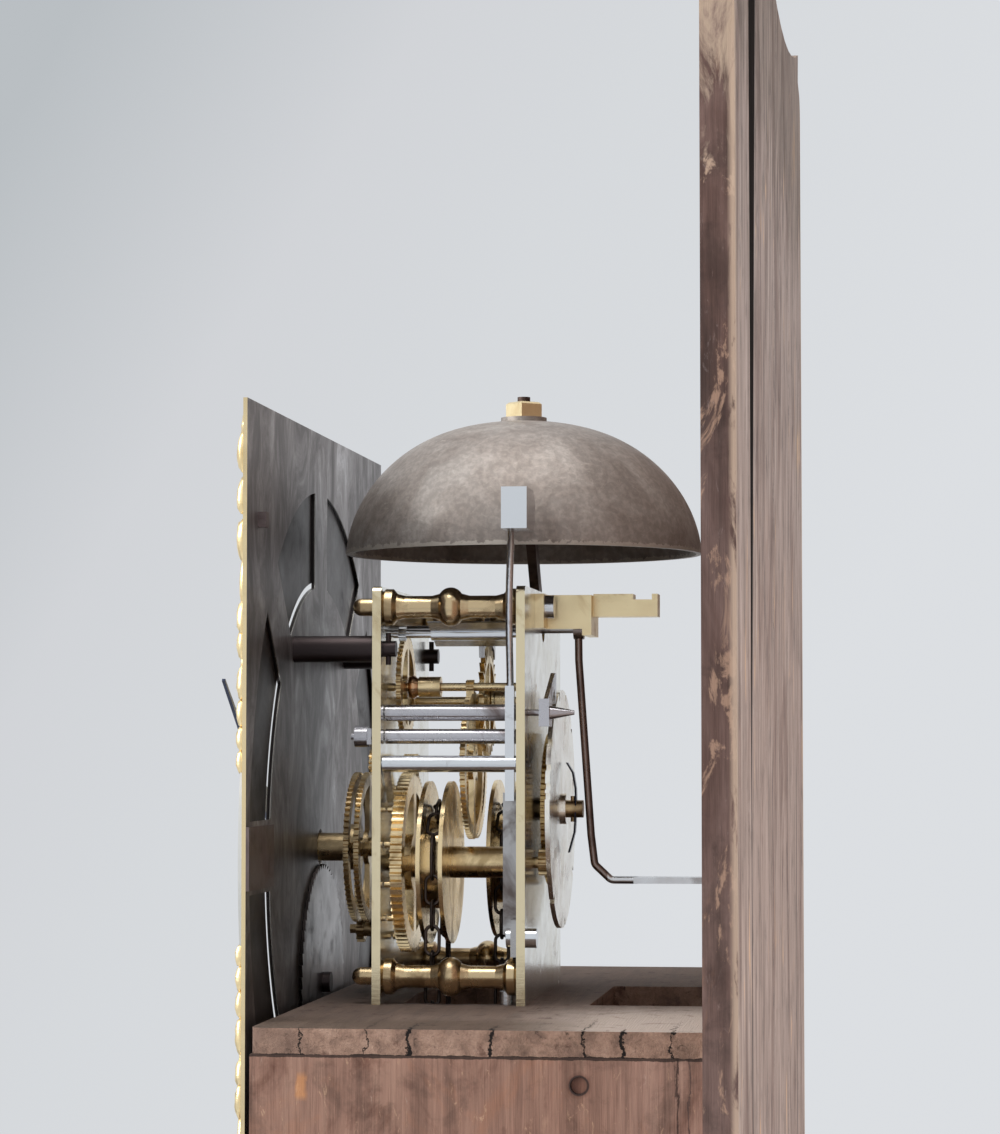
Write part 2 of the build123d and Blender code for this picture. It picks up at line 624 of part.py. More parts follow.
DIAL_FRONT = DIAL_BACK - DIAL_THICKNESS
VOID_INNER = 102.0
VOID_OUTER = 139.0
BAR_WIDTH = 26.0
PIPE_HOLE = 7.0
CALENDAR_CENTRE = (0.0, 4.0)
CALENDAR_RADIUS = 46.2
CALENDAR_TEETH = 62
CALENDAR_TOOTH = 2.2
CALENDAR_POST = 4.0
CALENDAR_GAP = 0.3
CALENDAR_THICKNESS = 1.1
DIAL_CENTRE_Z = SEAT_TOP + CENTRE[1]

with BuildPart() as dial_plate:
    with BuildSketch(front_view(DIAL_BACK, CENTRE[0], DIAL_CENTRE_Z)):
        Rectangle(2 * DIAL_HALF, DIAL_HEIGHT)
    extrude(amount=DIAL_THICKNESS)
    with BuildSketch(front_view(DIAL_BACK, CENTRE[0], DIAL_CENTRE_Z)):
        Circle(VOID_OUTER)
        Circle(VOID_INNER, mode=Mode.SUBTRACT)
        with PolarLocations(0, 8):
            with Locations((VOID_OUTER / 2, 0)):
                Rectangle(VOID_OUTER, BAR_WIDTH, mode=Mode.SUBTRACT)
        Circle(PIPE_HOLE)
    extrude(amount=DIAL_THICKNESS, mode=Mode.SUBTRACT)
dial_plate.part.label = "dial_plate"
export_step(dial_plate.part, "parts/dial_plate.step")

with BuildPart() as chapter_ring:
    with BuildSketch(front_view(DIAL_FRONT, CENTRE[0], DIAL_CENTRE_Z)):
        Circle(CHAPTER_OUTER)
        Circle(CHAPTER_INNER, mode=Mode.SUBTRACT)
    extrude(amount=CHAPTER_THICKNESS)
chapter_ring.part.label = "chapter_ring"
export_step(chapter_ring.part, "parts/chapter_ring.step")

SPANDREL_INSET = 4.0
SPANDREL_GAP = 22.0

with BuildPart() as spandrels:
    with BuildSketch(front_view(DIAL_FRONT, CENTRE[0], DIAL_CENTRE_Z)):
        Rectangle(2 * (DIAL_HALF - SPANDREL_INSET), DIAL_HEIGHT - 2 * SPANDREL_INSET)
        Circle(CHAPTER_OUTER + SPANDREL_INSET, mode=Mode.SUBTRACT)
        Rectangle(2 * SPANDREL_GAP, DIAL_HEIGHT, mode=Mode.SUBTRACT)
    extrude(amount=SPANDREL_THICKNESS)
spandrels.part.label = "spandrels"
export_step(spandrels.part, "parts/spandrels.step")

PATCH_HALF = 11.2
PATCH_WIDTH = 45.0
PATCH_THICKNESS = 1.2
FOOT_PIN_HALF = 6.0
FOOT_TENON_END = 5.0
PEG_PLACE = (123.0, 177.5)
PEG_HALF = 2.75
PEG_DEPTH = 3.0

with BuildPart() as dial_fittings:
    for place in FOOT_PLACES:
        rod(place, DIAL_BACK, FRONT_PLATE_FACE, FOOT_RADIUS)
        rod(place, FRONT_PLATE_FACE, PLATE_INNER_FRONT + FOOT_TENON_END, FOOT_TENON)
        upright(
            place[0], PLATE_INNER_FRONT + 2.0, SEAT_TOP + place[1] - FOOT_PIN_HALF,
            SEAT_TOP + place[1] + FOOT_PIN_HALF, CROSS_PIN,
        )
    rod(CALENDAR_CENTRE, DIAL_BACK, DIAL_BACK + 4.5, CALENDAR_POST)
    block(
        DIAL_HALF - PATCH_WIDTH, DIAL_HALF, DIAL_BACK, DIAL_BACK + PATCH_THICKNESS,
        DIAL_CENTRE_Z - PATCH_HALF, DIAL_CENTRE_Z + PATCH_HALF,
    )
    block(
        PEG_PLACE[0] - PEG_HALF, PEG_PLACE[0] + PEG_HALF, DIAL_BACK, DIAL_BACK + PEG_DEPTH,
        SEAT_TOP + PEG_PLACE[1] - PEG_HALF, SEAT_TOP + PEG_PLACE[1] + PEG_HALF,
    )
dial_fittings.part.label = "dial_fittings"
export_step(dial_fittings.part, "parts/dial_fittings.step")

# Bell on its stand, with a square nut

STAND_X = -20.0
STAND_FOOT = 120.0
STAND_HALF_WIDTH = 4.5
STAND_THICKNESS = 3.6
STAND_STUD = 2.5
BELL_CROWN = BELL_RIM + BELL_HEIGHT
NUT_HALF = 5.0
NUT_HEIGHT = 6.2
BOSS_RADIUS = 9.0
BOSS_THICKNESS = 1.5


def bell_curve(radius, height):
    """The rounded side of a bell from its rim to its crown."""
    Spline(
        (radius, 0), (radius * 0.955, height * 0.27), (radius * 0.80, height * 0.6),
        (radius * 0.52, height * 0.87), (radius * 0.2, height * 0.985), (0, height),
    )


with BuildPart() as bell:
    with BuildSketch(Plane(origin=(0, BELL_Y, SEAT_TOP + BELL_RIM), x_dir=(1, 0, 0), z_dir=(0, -1, 0))):
        with BuildLine():
            bell_curve(BELL_RADIUS, BELL_HEIGHT)
            Line((0, BELL_HEIGHT), (0, BELL_HEIGHT - BELL_WALL))
            bell_curve(BELL_RADIUS - BELL_WALL, BELL_HEIGHT - BELL_WALL)
            Line((BELL_RADIUS - BELL_WALL, 0), (BELL_RADIUS, 0))
        make_face()
    revolve(axis=Axis((0, BELL_Y, 0), (0, 0, 1)))
    upright(
        0, BELL_Y, SEAT_TOP + BELL_CROWN - BELL_WALL, SEAT_TOP + BELL_CROWN + BOSS_THICKNESS,
        BOSS_RADIUS,
    )
    upright(0, BELL_Y, SEAT_TOP + BELL_RIM, SEAT_TOP + BELL_CROWN + 5, STAND_STUD, Mode.SUBTRACT)
bell.part.label = "bell"
export_step(bell.part, "parts/bell.step")

STAND_SHOULDER = BELL_CROWN - BELL_WALL - 3.0

with BuildPart() as bell_stand:
    with BuildSketch(front_view(PLATE_INNER_BACK)):
        with BuildLine():
            Polyline(
                (STAND_X - STAND_HALF_WIDTH, SEAT_TOP + STAND_FOOT),
                (STAND_X + STAND_HALF_WIDTH, SEAT_TOP + STAND_FOOT),
                (STAND_X + STAND_HALF_WIDTH, SEAT_TOP + PLATE_HEIGHT),
                (STAND_HALF_WIDTH, SEAT_TOP + PLATE_HEIGHT + 26),
                (STAND_HALF_WIDTH, SEAT_TOP + STAND_SHOULDER),
                (-STAND_HALF_WIDTH, SEAT_TOP + STAND_SHOULDER),
                (-STAND_HALF_WIDTH, SEAT_TOP + PLATE_HEIGHT + 28),
                (STAND_X - STAND_HALF_WIDTH, SEAT_TOP + PLATE_HEIGHT + 2),
                close=True,
            )
        make_face()
    extrude(amount=STAND_THICKNESS)
    upright(0, BELL_Y, SEAT_TOP + STAND_SHOULDER - 8, SEAT_TOP + BELL_CROWN - BELL_WALL - 1, 4.0)
    upright(
        0, BELL_Y, SEAT_TOP + STAND_SHOULDER,
        SEAT_TOP + BELL_CROWN + BOSS_THICKNESS + NUT_HEIGHT + 2, STAND_STUD,
    )
bell_stand.part.label = "bell_stand"
export_step(bell_stand.part, "parts/bell_stand.step")

with BuildPart() as bell_nut:
    with BuildSketch(Plane.XY.offset(SEAT_TOP + BELL_CROWN + BOSS_THICKNESS)):
        with Locations((0, BELL_Y)):
            Rectangle(2 * NUT_HALF, 2 * NUT_HALF, rotation=45)
            Circle(STAND_STUD, mode=Mode.SUBTRACT)
    extrude(amount=NUT_HEIGHT)
    chamfer(bell_nut.edges().group_by(Axis.Z)[-1].filter_by(GeomType.LINE), 0.8)
bell_nut.part.label = "bell_nut"
export_step(bell_nut.part, "parts/bell_nut.step")

# Hammer spring, back cock, their screws and the bolts that hold the movement down

SPRING_FOOT = 18.0
SPRING_TOP = 79.0
SPRING_WIDTH = 6.0
SPRING_THICKNESS = 1.2
SPRING_BOLT_Z = 25.0
SPRING_STANDOFF = 4.5
COCK_FOOT_HALF = 27.0
COCK_FOOT_THICKNESS = 3.3
COCK_HALF = 14.0
COCK_CHEEK = 5.0
COCK_PIVOT_FRONT = 38.0
COCK_SCREW = (21.0, 149.9)
COCK_SCREW_RADIUS = 4.4
COCK_SCREW_HEIGHT = 3.5
COCK_BLOCK_BACK = 41.6
COCK_BOTTOM = 141.7
COCK_TOP = 154.8
COCK_ARM_BACK = 66.6
COCK_ARM_HALF = 6.0
SCREW_RADIUS = 2.0
SCREW_HEAD = 3.6

with BuildPart() as hammer_spring:
    block(
        HAMMER_ARBOR[0] - 9, HAMMER_ARBOR[0] + 3.5, PLATE_INNER_BACK - 2.2, PLATE_INNER_BACK,
        SEAT_TOP + SPRING_FOOT, SEAT_TOP + SPRING_FOOT + 14,
    )
    block(
        HAMMER_ARBOR[0] - SPRING_THICKNESS - SPRING_STANDOFF, HAMMER_ARBOR[0] - SPRING_STANDOFF,
        PLATE_INNER_BACK - SPRING_WIDTH, PLATE_INNER_BACK - 0.3,
        SEAT_TOP + SPRING_FOOT + 8, SEAT_TOP + SPRING_TOP,
    )
    rod(
        (HAMMER_ARBOR[0], SPRING_BOLT_Z), PLATE_INNER_BACK - 2.2, PLATE_INNER_BACK, SCREW_RADIUS,
        Mode.SUBTRACT,
    )
hammer_spring.part.label = "hammer_spring"
export_step(hammer_spring.part, "parts/hammer_spring.step")

ANCHOR_PIVOT_DEPTH = 2.6

with BuildPart() as back_cock:
    for side in (-1, 1):
        near, far = side * (COCK_HALF - COCK_CHEEK), side * COCK_FOOT_HALF
        block(
            min(near, far), max(near, far), PLATE_BACK, PLATE_BACK + COCK_FOOT_THICKNESS,
            SEAT_TOP + COCK_BOTTOM, SEAT_TOP + COCK_TOP,
        )
        far = side * COCK_HALF
        block(
            min(near, far), max(near, far), PLATE_BACK + COCK_FOOT_THICKNESS, COCK_BLOCK_BACK,
            SEAT_TOP + COCK_BOTTOM, SEAT_TOP + COCK_TOP,
        )
    block(
        -COCK_HALF, COCK_HALF, PLATE_BACK + COCK_FOOT_THICKNESS, COCK_BLOCK_BACK,
        SEAT_TOP + COCK_BOTTOM + 5.5, SEAT_TOP + COCK_TOP,
    )
    block(
        -COCK_HALF, COCK_HALF, COCK_PIVOT_FRONT, COCK_BLOCK_BACK,
        SEAT_TOP + COCK_BOTTOM - 2.5, SEAT_TOP + COCK_TOP,
    )
    block(
        -COCK_ARM_HALF, COCK_ARM_HALF, COCK_BLOCK_BACK, COCK_ARM_BACK,
        SEAT_TOP + COCK_TOP - 8.1, SEAT_TOP + COCK_TOP + 0.7,
    )
    block(
        -COCK_ARM_HALF, COCK_ARM_HALF, COCK_ARM_BACK - 9.5, COCK_ARM_BACK - 2.2,
        SEAT_TOP + COCK_TOP - 1.5, SEAT_TOP + COCK_TOP + 0.7, Mode.SUBTRACT,
    )
    rod(
        ANCHOR, COCK_PIVOT_FRONT, COCK_PIVOT_FRONT + ANCHOR_PIVOT_DEPTH,
        PIVOT_RADIUS + RUN_CLEARANCE, Mode.SUBTRACT,
    )
back_cock.part.label = "back_cock"
export_step(back_cock.part, "parts/back_cock.step")

with BuildPart() as movement_screws:
    screw_back = PLATE_BACK + COCK_FOOT_THICKNESS
    for x in (-COCK_SCREW[0], COCK_SCREW[0]):
        rod((x, COCK_SCREW[1]), screw_back, screw_back + COCK_SCREW_HEIGHT, COCK_SCREW_RADIUS)
    rod((HAMMER_ARBOR[0], SPRING_BOLT_Z), PLATE_BACK, PLATE_BACK + 4.1, SCREW_HEAD)
    rod((HAMMER_ARBOR[0], SPRING_BOLT_Z), PLATE_INNER_BACK - 4, PLATE_INNER_BACK - 2.2, SCREW_HEAD)
    for x in (-PILLAR_X, PILLAR_X):
        upright(x, SEAT_BOLT_Y, SEAT_UNDER - 4, SEAT_TOP + 5, SEAT_BOLT_RADIUS)
        upright(x, SEAT_BOLT_Y, SEAT_UNDER - 4, SEAT_UNDER, SEAT_BOLT_RADIUS * 2)
movement_screws.part.label = "movement_screws"
export_step(movement_screws.part, "parts/movement_screws.step")

# Bracket on the backboard that carries the pendulum's suspension spring

BRACKET_HALF = 7.0
BRACKET_PLATE = 2.0
BRACKET_TOP = 160.0
SUSPENSION_HALF = 3.5
SUSPENSION_THICKNESS = 0.4
SUSPENSION_GAP = 0.4
PENDULUM_TOP = ANCHOR_Z + 3.0

with BuildPart() as pendulum_bracket:
    block(
        -BRACKET_HALF, BRACKET_HALF, BOARD_FRONT - BRACKET_PLATE, BOARD_FRONT,
        SEAT_TOP + 130, SEAT_TOP + BRACKET_TOP + 10,
    )
    block(
        -BRACKET_HALF, BRACKET_HALF, PENDULUM_Y - 5, BOARD_FRONT - BRACKET_PLATE,
        SEAT_TOP + BRACKET_TOP - 4, SEAT_TOP + BRACKET_TOP,
    )
    block(
        -SUSPENSION_THICKNESS, SUSPENSION_THICKNESS, PENDULUM_Y - SUSPENSION_HALF,
        PENDULUM_Y + SUSPENSION_HALF, SEAT_TOP + PENDULUM_TOP + SUSPENSION_GAP,
        SEAT_TOP + BRACKET_TOP,
    )
pendulum_bracket.part.label = "pendulum_bracket"
export_step(pendulum_bracket.part, "parts/pendulum_bracket.step")


# Wheels: every toothed part shares one tooth shape, with backlash so that it never binds

TOOTH_REACH = 0.6            # tooth tip beyond the pitch circle, in modules
TOOTH_ROOT = 0.85
TIP_SHARE = 0.10             # half widths of a tooth, as shares of the pitch
ROOT_SHARE = 0.28


def toothed(place, teeth, module, y0, y1, tooth_angle):
    """A toothed disc with one tooth pointing along tooth_angle."""
    outline = []
    for tooth in range(teeth):
        middle = tooth_angle + tooth * 360 / teeth
        for radius, share in (
            (module * (teeth / 2 - TOOTH_ROOT), -ROOT_SHARE),
            (module * (teeth / 2 + TOOTH_REACH), -TIP_SHARE),
            (module * (teeth / 2 + TOOTH_REACH), TIP_SHARE),
            (module * (teeth / 2 - TOOTH_ROOT), ROOT_SHARE),
        ):
            outline.append(away((0, 0), radius, middle + share * 360 / teeth))
    with BuildSketch(front_view(y1, place[0], SEAT_TOP + place[1])) as disc:
        with BuildLine():
            Polyline(*outline, close=True)
        make_face()
    extrude(disc.sketch, amount=y1 - y0)


def crossed_out(place, hub, rim, y0, y1, arm_width):
    """The windows between the four arms of a wheel."""
    with BuildSketch(front_view(y1, place[0], SEAT_TOP + place[1])) as windows:
        Circle(rim)
        Circle(hub, mode=Mode.SUBTRACT)
        Rectangle(2 * rim, arm_width, mode=Mode.SUBTRACT)
        Rectangle(arm_width, 2 * rim, mode=Mode.SUBTRACT)
    extrude(windows.sketch, amount=y1 - y0, mode=Mode.SUBTRACT)


def arbor(place, radius=ARBOR_RADIUS, pivot=PIVOT_RADIUS):
    """A shaft between the plates with a pivot in each."""
    rod(place, PLATE_INNER_FRONT + END_SHAKE, PLATE_INNER_BACK - END_SHAKE, radius)
    rod(place, FRONT_PLATE_FACE, PLATE_BACK, pivot)


def gap_angle(place, other, teeth):
    """The tooth angle that turns a gap between teeth towards the other arbor."""
    return bearing(place, other) + 180 / teeth


GREAT_ARBOR = 3.5
HUB = 6.0
RIM_WIDTH = 4.0
ARM_WIDTH = 4.5
CHAIN_RIM = 31.0
CHAIN_CORE = WEIGHT_SIDE - CHAIN_RADIUS - 0.3
CHAIN_SIDE_GAP = 0.45
FLANGE = 1.6
PINION_OVERLAP = 0.5         # a pinion is longer than its wheel by this on each side

# Going train

GOING_WHEEL = (12.0, 15.5)
SECOND_WHEEL = (-8.6, -6.6)
ESCAPE_WHEEL = (-1.8, 0.2)
MINUTE_WHEEL = (-49.0, -47.0)
CANNON_WHEEL = (-43.5, -41.5)
HOUR_WHEEL = (-53.0, -51.0)


def longer(span):
    """The span of the pinion that meets a wheel."""
    return span[0] - PINION_OVERLAP, span[1] + PINION_OVERLAP


def rim_of(teeth, module):
    """The inner radius of a wheel's rim."""
    return module * (teeth / 2 - TOOTH_ROOT) - RIM_WIDTH


with BuildPart() as going_great_wheel:
    toothed(
        GOING_GREAT, GREAT_TEETH, MODULE_GREAT, *GOING_WHEEL, bearing(GOING_GREAT, SECOND)
    )
    crossed_out(GOING_GREAT, 11.0, rim_of(GREAT_TEETH, MODULE_GREAT), *GOING_WHEEL, 6.0)
    arbor(GOING_GREAT, GREAT_ARBOR, GREAT_PIVOT)
going_great_wheel.part.label = "going_great_wheel"
export_step(going_great_wheel.part, "parts/going_great_wheel.step")


def chain_wheel(place, chain_y, pipe_end):
    """A grooved wheel for the chain: two flanges on a core, with a pipe on one side."""
    front = chain_y - CHAIN_RADIUS - CHAIN_SIDE_GAP
    back = chain_y + CHAIN_RADIUS + CHAIN_SIDE_GAP
    rod(place, front - FLANGE, front, CHAIN_RIM)
    rod(place, front, back, CHAIN_CORE)
    rod(place, back, back + FLANGE, CHAIN_RIM)
    rod(place, min(back, pipe_end), max(back, pipe_end), HUB)
    rod(place, front - FLANGE, max(pipe_end, back + FLANGE), GREAT_ARBOR, Mode.SUBTRACT)


with BuildPart() as going_chain_wheel:
    chain_wheel(GOING_GREAT, GOING_CHAIN_Y, GOING_WHEEL[0])
going_chain_wheel.part.label = "going_chain_wheel"
export_step(going_chain_wheel.part, "parts/going_chain_wheel.step")

with BuildPart() as second_wheel:
    arbor(SECOND)
    toothed(
        SECOND, GREAT_PINION, MODULE_GREAT, *longer(GOING_WHEEL),
        gap_angle(SECOND, GOING_GREAT, GREAT_PINION),
    )
    toothed(SECOND, SECOND_TEETH, MODULE_SECOND, *SECOND_WHEEL, bearing(SECOND, ESCAPE))
    crossed_out(SECOND, HUB, rim_of(SECOND_TEETH, MODULE_SECOND), *SECOND_WHEEL, ARM_WIDTH)
    rod(SECOND, SECOND_WHEEL[0] - 4, SECOND_WHEEL[0], 4.0)
    rod(SECOND, MINUTE_WHEEL[0] - 1, FRONT_PLATE_FACE, PIVOT_RADIUS)
    toothed(
        SECOND, DRIVER_TEETH, MODULE_MOTION, *longer(MINUTE_WHEEL),
        gap_angle(SECOND, CENTRE, DRIVER_TEETH),
    )
second_wheel.part.label = "second_wheel"
export_step(second_wheel.part, "parts/second_wheel.step")

ESCAPE_ROOT = 17.6
ESCAPE_TIP_SHARE = 0.04
ESCAPE_ROOT_SHARE = 0.24

with BuildPart() as escape_wheel:
    arbor(ESCAPE)
    outline = []
    for tooth in range(ESCAPE_TEETH):
        middle = (tooth + 0.5) * 360 / ESCAPE_TEETH
        for radius, share in (
            (ESCAPE_ROOT, -ESCAPE_ROOT_SHARE), (ESCAPE_RADIUS, -ESCAPE_TIP_SHARE),
            (ESCAPE_RADIUS, ESCAPE_TIP_SHARE), (ESCAPE_ROOT, ESCAPE_ROOT_SHARE),
        ):
            outline.append(away((0, 0), radius, middle + share * 360 / ESCAPE_TEETH))
    with BuildSketch(front_view(ESCAPE_WHEEL[1], ESCAPE[0], SEAT_TOP + ESCAPE[1])):
        with BuildLine():
            Polyline(*outline, close=True)
        make_face()
    extrude(amount=ESCAPE_WHEEL[1] - ESCAPE_WHEEL[0])
    crossed_out(ESCAPE, HUB - 1, ESCAPE_ROOT - 2.5, *ESCAPE_WHEEL, 3.0)
    rod(ESCAPE, ESCAPE_WHEEL[1], ESCAPE_WHEEL[1] + 7.0, 4.0)
    toothed(
        ESCAPE, ESCAPE_PINION, MODULE_SECOND, *longer(SECOND_WHEEL),
        gap_angle(ESCAPE, SECOND, ESCAPE_PINION),
    )
escape_wheel.part.label = "escape_wheel"
export_step(escape_wheel.part, "parts/escape_wheel.step")

# Anchor above the escape wheel, and the crutch that swings with it

PALLET_SPAN = 16.0
PALLET_DROP = 11.4
CRUTCH_RADIUS = 1.5
CRUTCH_ARM_Z = 44.5
CRUTCH_FRONT = 35.2
COLLAR_END = 37.4

with BuildPart() as anchor:
    rod(ANCHOR, PLATE_INNER_FRONT + END_SHAKE, COLLAR_END, ARBOR_RADIUS)
    rod(ANCHOR, FRONT_PLATE_FACE, PLATE_INNER_FRONT + END_SHAKE, PIVOT_RADIUS)
    rod(ANCHOR, COLLAR_END, COCK_PIVOT_FRONT + ANCHOR_PIVOT_DEPTH - END_SHAKE, PIVOT_RADIUS)
    with BuildSketch(front_view(ESCAPE_WHEEL[1], 0, SEAT_TOP + ANCHOR_Z)):
        with BuildLine():
            Polyline(
                (0, 4.5), (PALLET_SPAN + 1.5, -PALLET_DROP + 5), (PALLET_SPAN + 0.6, -PALLET_DROP),
                (PALLET_SPAN - 0.6, -PALLET_DROP), (PALLET_SPAN - 2, -PALLET_DROP + 3.5),
                (0, -3.5),
                (-PALLET_SPAN + 2, -PALLET_DROP + 3.5), (-PALLET_SPAN + 0.6, -PALLET_DROP),
                (-PALLET_SPAN - 0.6, -PALLET_DROP), (-PALLET_SPAN - 1.5, -PALLET_DROP + 5),
                close=True,
            )
        make_face()
    extrude(amount=ESCAPE_WHEEL[1] - ESCAPE_WHEEL[0])
anchor.part.label = "anchor"
export_step(anchor.part, "parts/anchor.step")

with BuildPart() as crutch:
    with BuildLine(side_view(0, 0, SEAT_TOP)) as route:
        FilletPolyline(
            (CRUTCH_FRONT, ANCHOR_Z - 3), (CRUTCH_FRONT + 0.1, 130), (36.9, 107), (40.0, 62),
            (41.4, CRUTCH_ARM_Z + 6), (47.8, CRUTCH_ARM_Z), (58.0, CRUTCH_ARM_Z),
            radius=3.0,
        )
    with BuildSketch(Plane(origin=route.line @ 0, z_dir=route.line % 0)):
        Circle(CRUTCH_RADIUS)
    sweep()
    rod(ANCHOR, COLLAR_END - 4, COLLAR_END, 4.0)
    rod(ANCHOR, COLLAR_END - 4, COLLAR_END, ARBOR_RADIUS, Mode.SUBTRACT)
    block(
        -5.5, 5.5, 57.0, PENDULUM_Y + 6.5, SEAT_TOP + CRUTCH_ARM_Z - 1.2, SEAT_TOP + CRUTCH_ARM_Z + 1.2
    )
    block(
        -ROD_RADIUS - 0.3, ROD_RADIUS + 0.3, PENDULUM_Y - 5, PENDULUM_Y + 6.5,
        SEAT_TOP + CRUTCH_ARM_Z - 1.2, SEAT_TOP + CRUTCH_ARM_Z + 1.2, Mode.SUBTRACT,
    )
crutch.part.label = "crutch"
export_step(crutch.part, "parts/crutch.step")

# Pendulum: the rod hangs from its suspension spring in line with the anchor's arbor

BOB_Z = SEAT_TOP + ANCHOR_Z - PENDULUM_LENGTH
ROD_TAIL = 40.0
NUT_RADIUS = 9.0
NUT_THICKNESS = 5.0

with BuildPart() as pendulum_rod:
    upright(0, PENDULUM_Y, BOB_Z - BOB_RADIUS - ROD_TAIL, SEAT_TOP + PENDULUM_TOP - 7, ROD_RADIUS)
    block(
        -3.5, 3.5, PENDULUM_Y - 3, PENDULUM_Y + 3, SEAT_TOP + PENDULUM_TOP - 9, SEAT_TOP + PENDULUM_TOP
    )
pendulum_rod.part.label = "pendulum_rod"
export_step(pendulum_rod.part, "parts/pendulum_rod.step")

with BuildPart() as pendulum_bob:
    with BuildSketch(side_view(0, PENDULUM_Y, BOB_Z)) as lens:
        with BuildLine():
            ThreePointArc((0, BOB_RADIUS), (-BOB_THICKNESS / 2, 0), (0, -BOB_RADIUS))
            ThreePointArc((0, -BOB_RADIUS), (BOB_THICKNESS / 2, 0), (0, BOB_RADIUS))
        make_face()
        split(bisect_by=Plane.XZ)
    revolve(axis=Axis((0, PENDULUM_Y, BOB_Z), (0, 1, 0)))
    nut_top = BOB_Z - BOB_RADIUS - 1
    upright(0, PENDULUM_Y, nut_top - NUT_THICKNESS, nut_top, NUT_RADIUS)
    upright(
        0, PENDULUM_Y, BOB_Z - BOB_RADIUS - ROD_TAIL, BOB_Z + BOB_RADIUS + 1, ROD_RADIUS, Mode.SUBTRACT
    )
pendulum_bob.part.label = "pendulum_bob"
export_step(pendulum_bob.part, "parts/pendulum_bob.step")

# Motion work and hands, which show ten past ten

CANNON_RADIUS = 3.7
CANNON_END = -84.0
HOUR_PIPE = 5.5
HOUR_PIPE_END = -76.0
MINUTE_ANGLE = 30.0
HOUR_ANGLE = 145.0
MINUTE_PLANE = (-83.2, -82.0)
HOUR_PLANE = (-75.5, -74.3)

with BuildPart() as minute_wheel:
    toothed(CENTRE, MINUTE_TEETH, MODULE_MOTION, *MINUTE_WHEEL, bearing(CENTRE, SECOND))
    crossed_out(CENTRE, HUB + 1, rim_of(MINUTE_TEETH, MODULE_MOTION), *MINUTE_WHEEL, ARM_WIDTH)
    toothed(CENTRE, CANNON_TEETH, MODULE_MOTION, *CANNON_WHEEL, bearing(CENTRE, REVERSE))
    cannon_back = FRONT_PLATE_FACE - POST_FLANGE_THICKNESS - END_SHAKE
    rod(CENTRE, CANNON_END, cannon_back, CANNON_RADIUS)
    rod(CENTRE, CANNON_END, cannon_back, CENTRE_POST + RUN_CLEARANCE, Mode.SUBTRACT)
minute_wheel.part.label = "minute_wheel"
export_step(minute_wheel.part, "parts/minute_wheel.step")

with BuildPart() as reverse_wheel:
    toothed(
        REVERSE, REVERSE_TEETH, MODULE_MOTION, *CANNON_WHEEL,
        gap_angle(REVERSE, CENTRE, REVERSE_TEETH),
    )
    crossed_out(REVERSE, HUB, rim_of(REVERSE_TEETH, MODULE_MOTION), *CANNON_WHEEL, ARM_WIDTH)
    toothed(
        REVERSE, REVERSE_PINION, MODULE_MOTION, *longer(HOUR_WHEEL), bearing(REVERSE, CENTRE)
    )
    rod(REVERSE, HOUR_WHEEL[1], CANNON_WHEEL[1], 3.0)
    rod(
        REVERSE, HOUR_WHEEL[0] - 1, CANNON_WHEEL[1], REVERSE_POST + RUN_CLEARANCE, Mode.SUBTRACT
    )
reverse_wheel.part.label = "reverse_wheel"
export_step(reverse_wheel.part, "parts/reverse_wheel.step")

with BuildPart() as hour_wheel:
    toothed(
        CENTRE, HOUR_TEETH, MODULE_MOTION, *HOUR_WHEEL, gap_angle(CENTRE, REVERSE, HOUR_TEETH)
    )
    crossed_out(CENTRE, 9.0, rim_of(HOUR_TEETH, MODULE_MOTION), *HOUR_WHEEL, ARM_WIDTH)
    rod(CENTRE, HOUR_PIPE_END, HOUR_WHEEL[1], HOUR_PIPE)
    rod(CENTRE, HOUR_WHEEL[0] - 3, HOUR_WHEEL[0], 9.0)
    rod(CENTRE, HOUR_PIPE_END, HOUR_WHEEL[1], CANNON_RADIUS + RUN_CLEARANCE, Mode.SUBTRACT)
hour_wheel.part.label = "hour_wheel"
export_step(hour_wheel.part, "parts/hour_wheel.step")


def hand(span, angle, length, hub, bore, width):
    """A hand: a ring on its pipe and a tapering blade with a swelling near the ring."""
    blade = (
        (hub - 1, -width / 2), (length * 0.3, -width), (length * 0.42, -width * 0.4),
        (length, -0.5), (length, 0.5), (length * 0.42, width * 0.4),
        (length * 0.3, width), (hub - 1, width / 2),
    )
    outline = [away(away((0, 0), along, angle), aside, angle + 90) for along, aside in blade]
    with BuildSketch(front_view(span[1], CENTRE[0], SEAT_TOP + CENTRE[1])) as shape:
        Circle(hub)
        with BuildLine():
            Polyline(*outline, close=True)
        make_face()
        Circle(bore, mode=Mode.SUBTRACT)
    extrude(shape.sketch, amount=span[1] - span[0])


with BuildPart() as minute_hand:
    hand(MINUTE_PLANE, MINUTE_ANGLE, MINUTE_HAND_LENGTH, 6.5, CANNON_RADIUS, 5.0)
minute_hand.part.label = "minute_hand"
export_step(minute_hand.part, "parts/minute_hand.step")

with BuildPart() as hour_hand:
    hand(HOUR_PLANE, HOUR_ANGLE, HOUR_HAND_LENGTH, 9.0, HOUR_PIPE, 9.0)
hour_hand.part.label = "hour_hand"
export_step(hour_hand.part, "parts/hour_hand.step")

